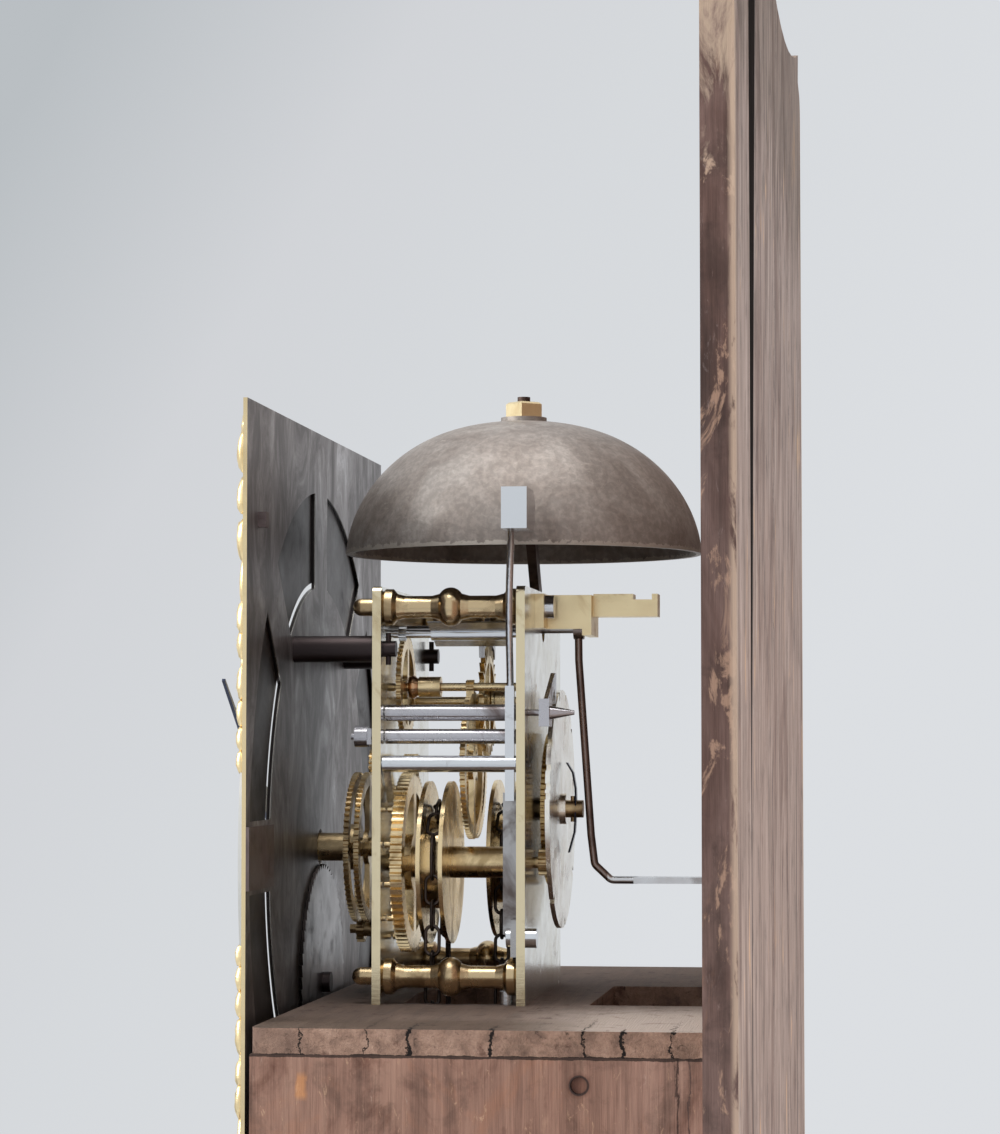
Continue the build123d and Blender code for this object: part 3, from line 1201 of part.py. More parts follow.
with BuildPart() as calendar_disc:
    outline = []
    for tooth in range(CALENDAR_TEETH):
        start = tooth * 360 / CALENDAR_TEETH
        outline.append(away((0, 0), CALENDAR_RADIUS, start))
        outline.append(away((0, 0), CALENDAR_RADIUS - CALENDAR_TOOTH, start + 30 / CALENDAR_TEETH))
    calendar_back = DIAL_BACK + CALENDAR_GAP + CALENDAR_THICKNESS
    with BuildSketch(front_view(calendar_back, CALENDAR_CENTRE[0], SEAT_TOP + CALENDAR_CENTRE[1])):
        with BuildLine():
            Polyline(*outline, close=True)
        make_face()
    extrude(amount=CALENDAR_THICKNESS)
    rod(
        CALENDAR_CENTRE, calendar_back - CALENDAR_THICKNESS, calendar_back,
        CALENDAR_POST + RUN_CLEARANCE, Mode.SUBTRACT,
    )
calendar_disc.part.label = "calendar_disc"
export_step(calendar_disc.part, "parts/calendar_disc.step")

# Striking train

STRIKE_WHEEL = (-30.0, -25.5)
STRIKE_SECOND_WHEEL = (-5.2, -3.2)
WARNING_WHEEL = (-30.2, -28.3)
COUNT_WHEEL = (23.1, 26.9)
LIFT_PIN_CIRCLE = 29.0
LIFT_PIN_RADIUS = 1.2
LIFT_PIN_LENGTH = 2.7

with BuildPart() as strike_great_wheel:
    toothed(
        STRIKE_GREAT, GREAT_TEETH, MODULE_GREAT, *STRIKE_WHEEL,
        bearing(STRIKE_GREAT, STRIKE_SECOND),
    )
    crossed_out(STRIKE_GREAT, 11.0, LIFT_PIN_CIRCLE - 2.5, *STRIKE_WHEEL, 6.0)
    for pin in range(LIFT_PINS):
        pin_place = away(STRIKE_GREAT, LIFT_PIN_CIRCLE, (pin + 0.5) * 360 / LIFT_PINS)
        rod(pin_place, STRIKE_WHEEL[0] - LIFT_PIN_LENGTH, STRIKE_WHEEL[0], LIFT_PIN_RADIUS)
    arbor(STRIKE_GREAT, GREAT_ARBOR, GREAT_PIVOT)
    rod(STRIKE_GREAT, PLATE_BACK, COUNT_WHEEL[1] - 0.2, GREAT_PIVOT)
    toothed(
        STRIKE_GREAT, COUNT_PINION, MODULE_COUNT, PLATE_BACK + 1.2, COUNT_WHEEL[1] - 0.2,
        bearing(STRIKE_GREAT, COUNT),
    )
strike_great_wheel.part.label = "strike_great_wheel"
export_step(strike_great_wheel.part, "parts/strike_great_wheel.step")

with BuildPart() as strike_chain_wheel:
    chain_wheel(STRIKE_GREAT, STRIKE_CHAIN_Y, PLATE_INNER_BACK - END_SHAKE)
    rod(STRIKE_GREAT, STRIKE_WHEEL[1], STRIKE_CHAIN_Y - CHAIN_RADIUS - CHAIN_SIDE_GAP, HUB)
    rod(STRIKE_GREAT, STRIKE_WHEEL[1], STRIKE_CHAIN_Y, GREAT_ARBOR, Mode.SUBTRACT)
strike_chain_wheel.part.label = "strike_chain_wheel"
export_step(strike_chain_wheel.part, "parts/strike_chain_wheel.step")

with BuildPart() as strike_second_wheel:
    arbor(STRIKE_SECOND)
    toothed(
        STRIKE_SECOND, GREAT_PINION, MODULE_GREAT, *longer(STRIKE_WHEEL),
        gap_angle(STRIKE_SECOND, STRIKE_GREAT, GREAT_PINION),
    )
    toothed(
        STRIKE_SECOND, STRIKE_SECOND_TEETH, MODULE_STRIKE, *STRIKE_SECOND_WHEEL,
        bearing(STRIKE_SECOND, WARNING),
    )
    crossed_out(
        STRIKE_SECOND, HUB, rim_of(STRIKE_SECOND_TEETH, MODULE_STRIKE), *STRIKE_SECOND_WHEEL,
        ARM_WIDTH,
    )
strike_second_wheel.part.label = "strike_second_wheel"
export_step(strike_second_wheel.part, "parts/strike_second_wheel.step")

with BuildPart() as warning_wheel:
    arbor(WARNING)
    toothed(
        WARNING, WARNING_PINION, MODULE_STRIKE, *longer(STRIKE_SECOND_WHEEL),
        gap_angle(WARNING, STRIKE_SECOND, WARNING_PINION),
    )
    toothed(WARNING, WARNING_TEETH, MODULE_FLY, *WARNING_WHEEL, bearing(WARNING, FLY))
    crossed_out(
        WARNING, HUB - 1, rim_of(WARNING_TEETH, MODULE_FLY), *WARNING_WHEEL, ARM_WIDTH - 1
    )
    rod(WARNING, -24.0, -15.5, 4.0)
warning_wheel.part.label = "warning_wheel"
export_step(warning_wheel.part, "parts/warning_wheel.step")

FLY_HALF = 12.0
FLY_THICKNESS = 0.8
FLY_SPAN = (-18.0, 12.0)
FLY_TILT = 20.0

with BuildPart() as fly:
    arbor(FLY)
    toothed(
        FLY, FLY_PINION, MODULE_FLY, *longer(WARNING_WHEEL), gap_angle(FLY, WARNING, FLY_PINION)
    )
    with BuildSketch(front_view(FLY_SPAN[1], FLY[0], SEAT_TOP + FLY[1])):
        Rectangle(2 * FLY_HALF, FLY_THICKNESS, rotation=FLY_TILT)
        Circle(ARBOR_RADIUS + 1)
    extrude(amount=FLY_SPAN[1] - FLY_SPAN[0])
fly.part.label = "fly"
export_step(fly.part, "parts/fly.step")

# Count wheel: the notches in its rim stand after one, two, three and so on up to twelve blows

COUNT_RADIUS = 46.3
COUNT_DISC = 1.8
COUNT_BLOWS = 78
NOTCH_DEPTH = 3.0
NOTCH_WIDTH = 2.4

with BuildPart() as count_wheel:
    toothed(
        COUNT, COUNT_TEETH, MODULE_COUNT, *COUNT_WHEEL, gap_angle(COUNT, STRIKE_GREAT, COUNT_TEETH)
    )
    rod(COUNT, COUNT_WHEEL[1], COUNT_WHEEL[1] + COUNT_DISC, COUNT_RADIUS)
    blows = 0
    for hour in range(1, 13):
        blows += hour
        notch = away(COUNT, COUNT_RADIUS, (blows + 1.5) * 360 / COUNT_BLOWS)
        with BuildSketch(front_view(COUNT_WHEEL[1] + COUNT_DISC, notch[0], SEAT_TOP + notch[1])) as cut:
            Rectangle(
                2 * NOTCH_DEPTH, NOTCH_WIDTH, rotation=(blows + 1.5) * 360 / COUNT_BLOWS
            )
        extrude(cut.sketch, amount=COUNT_DISC, mode=Mode.SUBTRACT)
    rod(COUNT, COUNT_WHEEL[1] + COUNT_DISC, COUNT_WHEEL[1] + COUNT_DISC + 1.6, HUB)
    rod(
        COUNT, COUNT_WHEEL[0], COUNT_WHEEL[1] + COUNT_DISC + 1.6, COUNT_POST + RUN_CLEARANCE,
        Mode.SUBTRACT,
    )
count_wheel.part.label = "count_wheel"
export_step(count_wheel.part, "parts/count_wheel.step")

# Hammer with its tail standing just clear of the lifting pins

HAMMER_ARBOR_RADIUS = 3.1
HAMMER_BAR_TOP = 119.0
HAMMER_BAR_BOTTOM = 76.0
HAMMER_BAR_HALF = 2.2
HAMMER_BAR_Y = (13.6, 17.0)
HAMMER_ROD_RADIUS = 1.35
HAMMER_HEAD_X = (71.0, 97.0)
HAMMER_HEAD_Z = (175.5, 190.7)
HAMMER_HEAD_Y = (17.0, 26.4)
HAMMER_TAIL = 17.5
HAMMER_TAIL_HALF = 2.0

with BuildPart() as hammer:
    arbor(HAMMER_ARBOR, HAMMER_ARBOR_RADIUS)
    block(
        HAMMER_ARBOR[0] - HAMMER_BAR_HALF, HAMMER_ARBOR[0] + HAMMER_BAR_HALF, *HAMMER_BAR_Y,
        SEAT_TOP + HAMMER_BAR_BOTTOM, SEAT_TOP + HAMMER_BAR_TOP,
    )
    hammer_y = (HAMMER_BAR_Y[0] + HAMMER_BAR_Y[1]) / 2
    head_end = (sum(HAMMER_HEAD_X) / 2, HAMMER_HEAD_Y[0] + 2.2, SEAT_TOP + HAMMER_HEAD_Z[0] + 4)
    with BuildLine() as route:
        Spline(
            (HAMMER_ARBOR[0], hammer_y, SEAT_TOP + HAMMER_BAR_TOP - 5),
            (HAMMER_ARBOR[0] + 0.4, hammer_y, SEAT_TOP + HAMMER_BAR_TOP + 5),
            (HAMMER_ARBOR[0] + 5.0, hammer_y + 0.2, SEAT_TOP + 143.0),
            (HAMMER_ARBOR[0] + 12.0, hammer_y + 1.4, SEAT_TOP + 162.0),
            head_end,
        )
    with BuildSketch(Plane(origin=route.line @ 0, z_dir=route.line % 0)):
        Circle(HAMMER_ROD_RADIUS)
    sweep()
    with BuildSketch(front_view(HAMMER_HEAD_Y[1], 0, SEAT_TOP)) as head:
        with BuildLine():
            Polyline(
                (HAMMER_HEAD_X[0], HAMMER_HEAD_Z[0] + 4), (HAMMER_HEAD_X[0] + 5, HAMMER_HEAD_Z[0]),
                (HAMMER_HEAD_X[1], HAMMER_HEAD_Z[0]), (HAMMER_HEAD_X[1], HAMMER_HEAD_Z[1]),
                (HAMMER_HEAD_X[0] + 5, HAMMER_HEAD_Z[1]), (HAMMER_HEAD_X[0], HAMMER_HEAD_Z[1] - 4),
                close=True,
            )
        make_face()
    extrude(head.sketch, amount=HAMMER_HEAD_Y[1] - HAMMER_HEAD_Y[0])
    tail_angle = bearing(HAMMER_ARBOR, STRIKE_GREAT)
    tail_middle = away(HAMMER_ARBOR, HAMMER_TAIL / 2, tail_angle)
    tail_front = STRIKE_WHEEL[0] - LIFT_PIN_LENGTH
    with BuildSketch(front_view(STRIKE_WHEEL[0], tail_middle[0], SEAT_TOP + tail_middle[1])) as tail:
        Rectangle(HAMMER_TAIL, 2 * HAMMER_TAIL_HALF, rotation=tail_angle)
    extrude(tail.sketch, amount=STRIKE_WHEEL[0] - tail_front)
hammer.part.label = "hammer"
export_step(hammer.part, "parts/hammer.step")

# Levers: one lifts the locking and rides the count wheel, one is lifted by the minute wheel

LIFT_RADIUS = 3.1
LOCK_RADIUS = 2.8
LEVER_SPAN = (COUNT_WHEEL[1] + 0.2, COUNT_WHEEL[1] + COUNT_DISC)
DETENT_GAP = 0.4
DETENT_ANGLE = 60.0
SQUARE_END = 5.2
TIP_LENGTH = 9.0

with BuildPart() as locking_lever:
    arbor(LIFT_ARBOR, LIFT_RADIUS)
    detent = away(COUNT, COUNT_RADIUS + DETENT_GAP, DETENT_ANGLE)
    with BuildSketch(front_view(LEVER_SPAN[1], 0, SEAT_TOP)) as arm:
        with BuildLine():
            Polyline(
                (LIFT_ARBOR[0] + 2, LIFT_ARBOR[1] - 4), (LIFT_ARBOR[0] + 2, LIFT_ARBOR[1] + 4),
                (detent[0] + 4, detent[1] + 12), (detent[0] - 1.0, detent[1] + 12),
                (detent[0] - 0.6, detent[1] + 0.6), (detent[0] + 0.6, detent[1] + 0.2),
                (detent[0] + 5, detent[1] + 6), close=True,
            )
        make_face()
    extrude(arm.sketch, amount=LEVER_SPAN[1] - LEVER_SPAN[0])
    rod(LIFT_ARBOR, PLATE_BACK, LEVER_SPAN[0], PIVOT_RADIUS)
    block(
        LIFT_ARBOR[0] - SQUARE_END, LIFT_ARBOR[0] + SQUARE_END, LEVER_SPAN[0] - 1.2, 29.8,
        SEAT_TOP + LIFT_ARBOR[1] - SQUARE_END, SEAT_TOP + LIFT_ARBOR[1] + SQUARE_END,
    )
    with BuildSketch(front_view(29.8, LIFT_ARBOR[0], SEAT_TOP + LIFT_ARBOR[1])) as root:
        Circle(2.6)
    with BuildSketch(
        front_view(29.8 + TIP_LENGTH, LIFT_ARBOR[0], SEAT_TOP + LIFT_ARBOR[1])
    ) as tip:
        Circle(0.8)
    loft([root.sketch, tip.sketch])
locking_lever.part.label = "locking_lever"
export_step(locking_lever.part, "parts/locking_lever.step")

LIFTING_SPAN = (-39.6, -38.0)

with BuildPart() as lifting_lever:
    arbor(LOCK_ARBOR, LOCK_RADIUS)
    rod(LOCK_ARBOR, -46.0, FRONT_PLATE_FACE, PIVOT_RADIUS)
    rod(LOCK_ARBOR, -44.5, LIFTING_SPAN[0], 4.0)
    with BuildSketch(front_view(LIFTING_SPAN[1], 0, SEAT_TOP)) as arm:
        with BuildLine():
            Polyline(
                (LOCK_ARBOR[0] + 3, LOCK_ARBOR[1] - 3), (LOCK_ARBOR[0] + 3, LOCK_ARBOR[1] + 3),
                (LOCK_ARBOR[0] - 6, LOCK_ARBOR[1] + 3), (18, 82), (14, 68), (17, 68), (22, 79),
                (LOCK_ARBOR[0] - 6, LOCK_ARBOR[1] - 4), close=True,
            )
        make_face()
    extrude(arm.sketch, amount=LIFTING_SPAN[1] - LIFTING_SPAN[0])
lifting_lever.part.label = "lifting_lever"
export_step(lifting_lever.part, "parts/lifting_lever.step")

# Chains, weights and counterweights. Each chain hangs straight on both sides of its wheel.

with BuildPart() as chain_loops:
    for place, chain_y in ((STRIKE_GREAT, STRIKE_CHAIN_Y), (GOING_GREAT, GOING_CHAIN_Y)):
        centre = (place[0], chain_y, SEAT_TOP + place[1])
        with BuildSketch(Plane(origin=centre, x_dir=(1, 0, 0), z_dir=(0, 0, 1))) as link_end:
            with Locations((WEIGHT_SIDE, 0)):
                Circle(CHAIN_RADIUS)
        revolve(
            link_end.sketch, axis=Axis(centre, (0, -1, 0)), revolution_arc=180
        )
chain_loops.part.label = "chain_loops"
export_step(chain_loops.part, "parts/chain_loops.step")

CHAIN_START = SEAT_TOP + GREAT_Z
WEIGHT_HOOK = 20.0


def hanging(x, y, top, radius, length):
    """A cast weight with the thin hook that its chain holds."""
    upright(x, y, top - WEIGHT_HOOK, top, CHAIN_RADIUS)
    upright(x, y, top - WEIGHT_HOOK - length, top - WEIGHT_HOOK, radius)


WEIGHT_X = GREAT_X + WEIGHT_SIDE
COUNTER_X = GREAT_X - WEIGHT_SIDE

with BuildPart() as strike_weight_chain:
    upright(WEIGHT_X, STRIKE_CHAIN_Y, WEIGHT_TOP, CHAIN_START, CHAIN_RADIUS)
strike_weight_chain.part.label = "strike_weight_chain"
export_step(strike_weight_chain.part, "parts/strike_weight_chain.step")

with BuildPart() as going_weight_chain:
    upright(-WEIGHT_X, GOING_CHAIN_Y, WEIGHT_TOP, CHAIN_START, CHAIN_RADIUS)
going_weight_chain.part.label = "going_weight_chain"
export_step(going_weight_chain.part, "parts/going_weight_chain.step")

with BuildPart() as strike_counter_chain:
    upright(COUNTER_X, STRIKE_CHAIN_Y, COUNTER_TOP, CHAIN_START, CHAIN_RADIUS)
strike_counter_chain.part.label = "strike_counter_chain"
export_step(strike_counter_chain.part, "parts/strike_counter_chain.step")

with BuildPart() as going_counter_chain:
    upright(-COUNTER_X, GOING_CHAIN_Y, COUNTER_TOP, CHAIN_START, CHAIN_RADIUS)
going_counter_chain.part.label = "going_counter_chain"
export_step(going_counter_chain.part, "parts/going_counter_chain.step")

with BuildPart() as strike_weight:
    hanging(WEIGHT_X, STRIKE_CHAIN_Y, WEIGHT_TOP, WEIGHT_RADIUS, WEIGHT_LENGTH)
strike_weight.part.label = "strike_weight"
export_step(strike_weight.part, "parts/strike_weight.step")

with BuildPart() as going_weight:
    hanging(-WEIGHT_X, GOING_CHAIN_Y, WEIGHT_TOP, WEIGHT_RADIUS, WEIGHT_LENGTH)
going_weight.part.label = "going_weight"
export_step(going_weight.part, "parts/going_weight.step")

with BuildPart() as strike_counterweight:
    hanging(COUNTER_X, STRIKE_CHAIN_Y, COUNTER_TOP, COUNTER_RADIUS, COUNTER_LENGTH)
strike_counterweight.part.label = "strike_counterweight"
export_step(strike_counterweight.part, "parts/strike_counterweight.step")

with BuildPart() as going_counterweight:
    hanging(-COUNTER_X, GOING_CHAIN_Y, COUNTER_TOP, COUNTER_RADIUS, COUNTER_LENGTH)
going_counterweight.part.label = "going_counterweight"
export_step(going_counterweight.part, "parts/going_counterweight.step")
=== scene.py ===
from math import atan2, cos, hypot, pi, radians, sin
import random

import bmesh
import bpy
from mathutils import Matrix, Vector


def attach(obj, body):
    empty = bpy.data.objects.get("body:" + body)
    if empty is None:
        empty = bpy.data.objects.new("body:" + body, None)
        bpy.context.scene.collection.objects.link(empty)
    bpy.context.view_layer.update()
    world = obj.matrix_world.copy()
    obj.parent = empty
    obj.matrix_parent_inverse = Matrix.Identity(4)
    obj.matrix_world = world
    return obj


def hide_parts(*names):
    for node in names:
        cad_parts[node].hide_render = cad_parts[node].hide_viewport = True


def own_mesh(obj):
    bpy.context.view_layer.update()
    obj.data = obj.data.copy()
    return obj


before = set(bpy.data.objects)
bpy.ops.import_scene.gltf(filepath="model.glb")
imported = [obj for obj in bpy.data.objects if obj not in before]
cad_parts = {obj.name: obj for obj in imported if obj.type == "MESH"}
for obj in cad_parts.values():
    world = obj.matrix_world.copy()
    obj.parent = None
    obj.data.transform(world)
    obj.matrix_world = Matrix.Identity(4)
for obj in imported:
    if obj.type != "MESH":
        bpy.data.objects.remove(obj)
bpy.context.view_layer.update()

# Sizes in the frame are in metres. Heights named SEAT are the top of the seatboard.
MM = 0.001
SEAT = 1560 * MM


# Backboard: a wide pine board with a strip pegged on each side, grey with age, bare and orange
# where splinters have come off, with whitish scratches and stains on its back.

def add(tree, kind, inputs=None, **settings):
    """A shader node with its settings and its inputs, which are numbers or links."""
    made = tree.nodes.new(kind)
    for key, value in settings.items():
        setattr(made, key, value)
    for key, value in (inputs or {}).items():
        if isinstance(value, bpy.types.NodeSocket):
            tree.links.new(value, made.inputs[key])
        else:
            made.inputs[key].default_value = value
    return made


def ramp(tree, mask, stops):
    """A colour ramp over a mask: stops are (place, colour or grey level)."""
    made = add(tree, "ShaderNodeValToRGB", {"Fac": mask})
    band = made.color_ramp
    while len(band.elements) < len(stops):
        band.elements.new(0.5)
    for element, (place, colour) in zip(band.elements, stops):
        element.position = place
        shade = colour if isinstance(colour, tuple) else (colour, colour, colour)
        element.color = (*shade, 1)
    return made.outputs["Color"]


def blend(tree, share, first, second, kind="MIX"):
    """Two colours mixed by a share, either of them a link or a fixed colour."""
    made = add(tree, "ShaderNodeMix", data_type="RGBA", blend_type=kind)
    for socket, value in (
        (made.inputs[0], share), (made.inputs[6], first), (made.inputs[7], second)
    ):
        if isinstance(value, bpy.types.NodeSocket):
            tree.links.new(value, socket)
        elif isinstance(value, tuple):
            socket.default_value = (*value, 1)
        else:
            socket.default_value = value
    return made.outputs[2]


def math(tree, kind, first, second=0.0, third=0.0, clamp=False):
    """One step of arithmetic on masks."""
    inputs = {0: first, 1: second, 2: third}
    return add(tree, "ShaderNodeMath", inputs, operation=kind, use_clamp=clamp).outputs[0]


def noise(tree, vector, scale, detail=4.0, rough=0.55, warp=0.0):
    """A cloudy mask over a vector."""
    made = add(
        tree, "ShaderNodeTexNoise",
        {"Vector": vector, "Scale": scale, "Detail": detail, "Roughness": rough, "Distortion": warp},
    )
    return made.outputs["Fac"]


def stretched(tree, vector, scale):
    """The vector scaled along its three axes, so that patterns come out longer along one."""
    made = add(tree, "ShaderNodeMapping", {"Vector": vector, "Scale": scale})
    return made.outputs["Vector"]


def group(name, inputs, outputs, build):
    """A shared shader effect. Build gets the tree and input links and returns output links."""
    tree = bpy.data.node_groups.new(name, "ShaderNodeTree")
    for key, kind in inputs:
        tree.interface.new_socket(name=key, in_out="INPUT", socket_type=kind)
    for key, kind in outputs:
        tree.interface.new_socket(name=key, in_out="OUTPUT", socket_type=kind)
    start = tree.nodes.new("NodeGroupInput")
    end = tree.nodes.new("NodeGroupOutput")
    for key, link in build(tree, start.outputs).items():
        tree.links.new(link, end.inputs[key])
    return tree


def use(tree, effect, inputs):
    """A shared effect placed in a material; returns its outputs."""
    made = tree.nodes.new("ShaderNodeGroup")
    made.node_tree = effect
    for key, value in inputs.items():
        if isinstance(value, bpy.types.NodeSocket):
            tree.links.new(value, made.inputs[key])
        else:
            made.inputs[key].default_value = value
    return made.outputs


def build_wood(tree, ports):
    """Grain, soft bands, stains, pores and scratches; the vector's Z runs along the grain."""
    vector = ports["Vector"]
    fine = noise(tree, stretched(tree, vector, (1.0, 1.0, 0.035)), 1150.0, 5.0, 0.62, 0.2)
    band = noise(tree, stretched(tree, vector, (1.0, 1.0, 0.10)), 150.0, 6.0, 0.6, 0.5)
    stain = noise(tree, stretched(tree, vector, (1.0, 1.0, 0.42)), 34.0, 8.0, 0.64, 0.5)
    pore = noise(tree, stretched(tree, vector, (1.0, 1.0, 0.02)), 3200.0, 2.0, 0.5)
    scratch = noise(tree, stretched(tree, vector, (1.0, 1.0, 0.22)), 520.0, 9.0, 0.74, 0.6)
    height = math(tree, "MULTIPLY_ADD", fine, 0.6, math(tree, "MULTIPLY", pore, 0.4))
    return {
        "Fine": fine, "Band": band, "Stain": stain, "Pore": pore, "Scratch": scratch,
        "Height": height,
    }


WOOD_EFFECT = group(
    "aged_wood", [("Vector", "NodeSocketVector")],
    [(key, "NodeSocketFloat") for key in ("Fine", "Band", "Stain", "Pore", "Scratch", "Height")],
    build_wood,
)


def material(name):
    """An empty material with its surface shader; returns the material, its tree and shader."""
    made = bpy.data.materials.new(name)
    made.use_nodes = True
    tree = made.node_tree
    return made, tree, tree.nodes["Principled BSDF"]


def place_of(tree):
    """The place of a point in the frame, in metres."""
    return add(tree, "ShaderNodeTexCoord").outputs["Object"]


def bump(tree, height, strength, distance):
    """A normal link from a height mask."""
    made = add(
        tree, "ShaderNodeBump", {"Height": height, "Strength": strength, "Distance": distance}
    )
    return made.outputs["Normal"]


def turned_grain(tree, vector, grain):
    """The vector turned so that its Z runs along the grain, which is X, Y or Z."""
    apart = add(tree, "ShaderNodeSeparateXYZ", {"Vector": vector}).outputs
    order = {"X": (1, 2, 0), "Y": (0, 2, 1), "Z": (0, 1, 2)}[grain]
    parts = {i: apart[order[i]] for i in range(3)}
    return add(tree, "ShaderNodeCombineXYZ", parts).outputs["Vector"]


def wood(name, grain, dark, mid, light, bare, rough, bare_from=0.62, pale=None, relief=0.5):
    """Old wood: three shades along the grain, mottled, and bare in patches where it is worn."""
    made, tree, shader = material(name)
    marks = use(tree, WOOD_EFFECT, {"Vector": turned_grain(tree, place_of(tree), grain)})
    colour = ramp(tree, marks["Band"], [(0.32, dark), (0.5, mid), (0.68, light)])
    shade = ramp(tree, marks["Fine"], [(0.34, 0.72), (0.58, 1.0)])
    colour = blend(tree, 0.8, colour, shade, "MULTIPLY")
    cloud = noise(tree, place_of(tree), 52.0, 9.0, 0.68, 0.3)
    shade = ramp(tree, cloud, [(0.36, 0.62), (0.47, 0.95), (0.62, 1.0)])
    colour = blend(tree, 0.85, colour, shade, "MULTIPLY")
    worn = ramp(tree, marks["Stain"], [(bare_from, 0.0), (bare_from + 0.08, 1.0)])
    colour = blend(tree, worn, colour, bare)
    soot = ramp(tree, marks["Stain"], [(0.28, 0.8), (0.42, 0.0)])
    colour = blend(tree, soot, colour, dark)
    if pale:
        scrape = ramp(tree, marks["Scratch"], [(0.64, 0.0), (0.70, 0.8)])
        colour = blend(tree, scrape, colour, pale)
    tree.links.new(colour, shader.inputs["Base Color"])
    shader.inputs["Roughness"].default_value = rough
    shader.inputs["Specular IOR Level"].default_value = 0.25
    tree.links.new(bump(tree, marks["Height"], relief, 0.0008), shader.inputs["Normal"])
    return made


def axes(tree, vector):
    """The three parts of a vector, as links X, Y and Z."""
    return add(tree, "ShaderNodeSeparateXYZ", {"Vector": vector}).outputs


def facing(tree):
    """The way a surface faces, as links X, Y and Z."""
    return axes(tree, add(tree, "ShaderNodeNewGeometry").outputs["Normal"])


def over(tree, value, low, high):
    """A mask that rises from nought at low to one at high, or falls if high is the lower."""
    made = add(
        tree, "ShaderNodeMapRange",
        {"Value": value, "From Min": low, "From Max": high, "To Min": 0.0, "To Max": 1.0},
    )
    return made.outputs["Result"]


def both(tree, first, second):
    """A mask where two masks meet."""
    return math(tree, "MULTIPLY", first, second)


def apart(tree, value, centre):
    """How far a value is from a centre."""
    return math(tree, "ABSOLUTE", math(tree, "SUBTRACT", value, centre))


def overlay(made, layers):
    """Lays colours over a material: layers gets the tree and returns (mask, colour, kind)."""
    tree = made.node_tree
    shader = tree.nodes["Principled BSDF"]
    colour = shader.inputs["Base Color"].links[0].from_socket
    for mask, laid, kind in layers(tree):
        colour = blend(tree, mask, colour, laid, kind)
    tree.links.new(colour, shader.inputs["Base Color"])
    return made


def dress(finish, *names):
    """Gives CAD nodes their material."""
    for name in names:
        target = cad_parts[name]
        target.data.materials.clear()
        target.data.materials.append(finish)


def board_layers(tree):
    """Darker outer edges with a sooty patch, a bare top end and arris, and open seams painted dark as shade on the
    proud board's edge.
    """
    place = place_of(tree)
    spot = axes(tree, place)
    side = over(tree, math(tree, "ABSOLUTE", facing(tree)["X"]), 0.4, 0.6)
    ragged = noise(tree, stretched(tree, place, (1.0, 1.0, 0.35)), 75.0, 8.0, 0.7, 0.6)
    height = math(tree, "MULTIPLY_ADD", ragged, 0.22, spot["Z"])
    out = math(tree, "ABSOLUTE", spot["X"])
    soot = both(
        tree, over(tree, height, SEAT + 0.320, SEAT + 0.345), over(tree, height, SEAT + 0.425, SEAT + 0.395)
    )
    bare = both(tree, side, over(tree, height, SEAT + 0.395, SEAT + 0.425))
    flakes = both(tree, side, over(tree, ragged, 0.56, 0.60))
    arris = both(tree, over(tree, out, 0.262, 0.271), over(tree, spot["Y"], 0.1098, 0.1114))
    arris = both(tree, arris, over(tree, ragged, 0.38, 0.46))
    # The seams are painted near black: painted shade on the edge of the wide board where it stands proud of the
    # strips.
    shaded_seam = over(tree, apart(tree, out, 0.1874), 0.0024, 0.0012)
    crack = math(tree, "MULTIPLY_ADD", ragged, 0.030, spot["X"])
    broad = noise(tree, stretched(tree, place, (1.0, 1.0, 0.30)), 17.0, 7.0, 0.64, 0.9)
    chalk = noise(tree, stretched(tree, place, (1.0, 1.0, 0.30)), 240.0, 10.0, 0.78, 1.2)
    chalk = both(tree, over(tree, chalk, 0.60, 0.68), over(tree, broad, 0.42, 0.50))
    return [
        (over(tree, broad, 0.50, 0.60), (0.66, 0.60, 0.58), "MULTIPLY"),
        (math(tree, "MULTIPLY", chalk, 0.55), (0.66, 0.60, 0.57), "MIX"),
        (side, (0.36, 0.31, 0.315), "MULTIPLY"),
        (both(tree, side, soot), (1.30, 1.24, 1.20), "MULTIPLY"),
        (over(tree, height, SEAT + 0.36, SEAT + 0.22), (1.16, 1.10, 1.06), "MULTIPLY"),
        (math(tree, "MULTIPLY", flakes, 0.6), (0.42, 0.26, 0.18), "MIX"),
        (math(tree, "MULTIPLY", bare, 0.82), (0.56, 0.415, 0.31), "MIX"),
        (math(tree, "MULTIPLY", arris, 0.75), (0.50, 0.36, 0.27), "MIX"),
        (over(tree, height, SEAT + 0.41, SEAT + 0.44), (0.70, 0.69, 0.66), "MULTIPLY"),
        (over(tree, apart(tree, crack, 0.052), 0.0009, 0.0003), (0.06, 0.045, 0.04), "MIX"),
        (over(tree, apart(tree, crack, -0.081), 0.0007, 0.0002), (0.06, 0.045, 0.04), "MIX"),
        (shaded_seam, (0.022, 0.016, 0.014), "MIX"),
    ]


dress(
    overlay(
        wood(
            "weathered_pine", "Z", (0.225, 0.165, 0.140), (0.365, 0.270, 0.232),
            (0.48, 0.37, 0.325), (0.56, 0.36, 0.23), 0.82, 0.61, (0.66, 0.57, 0.52),
        ),
        board_layers,
    ),
    "backboard", "backboard_ears",
)


# Seatboard and case sides: reddish pine and oak, the seatboard sooty on top, with painted shade
# there under the dial and plates, and split end grain, the sides raw above the trunk. The front of
# the case is the same wood, waxed.

SPLITS = (
    (-43.8, 0.35, 8), (-6.2, 0.75, 34), (21.9, 0.7, 24), (53.7, 0.4, 60), (67.4, 0.75, 14),
    (-21.0, 0.25, 70), (84.0, 0.3, 50),
)


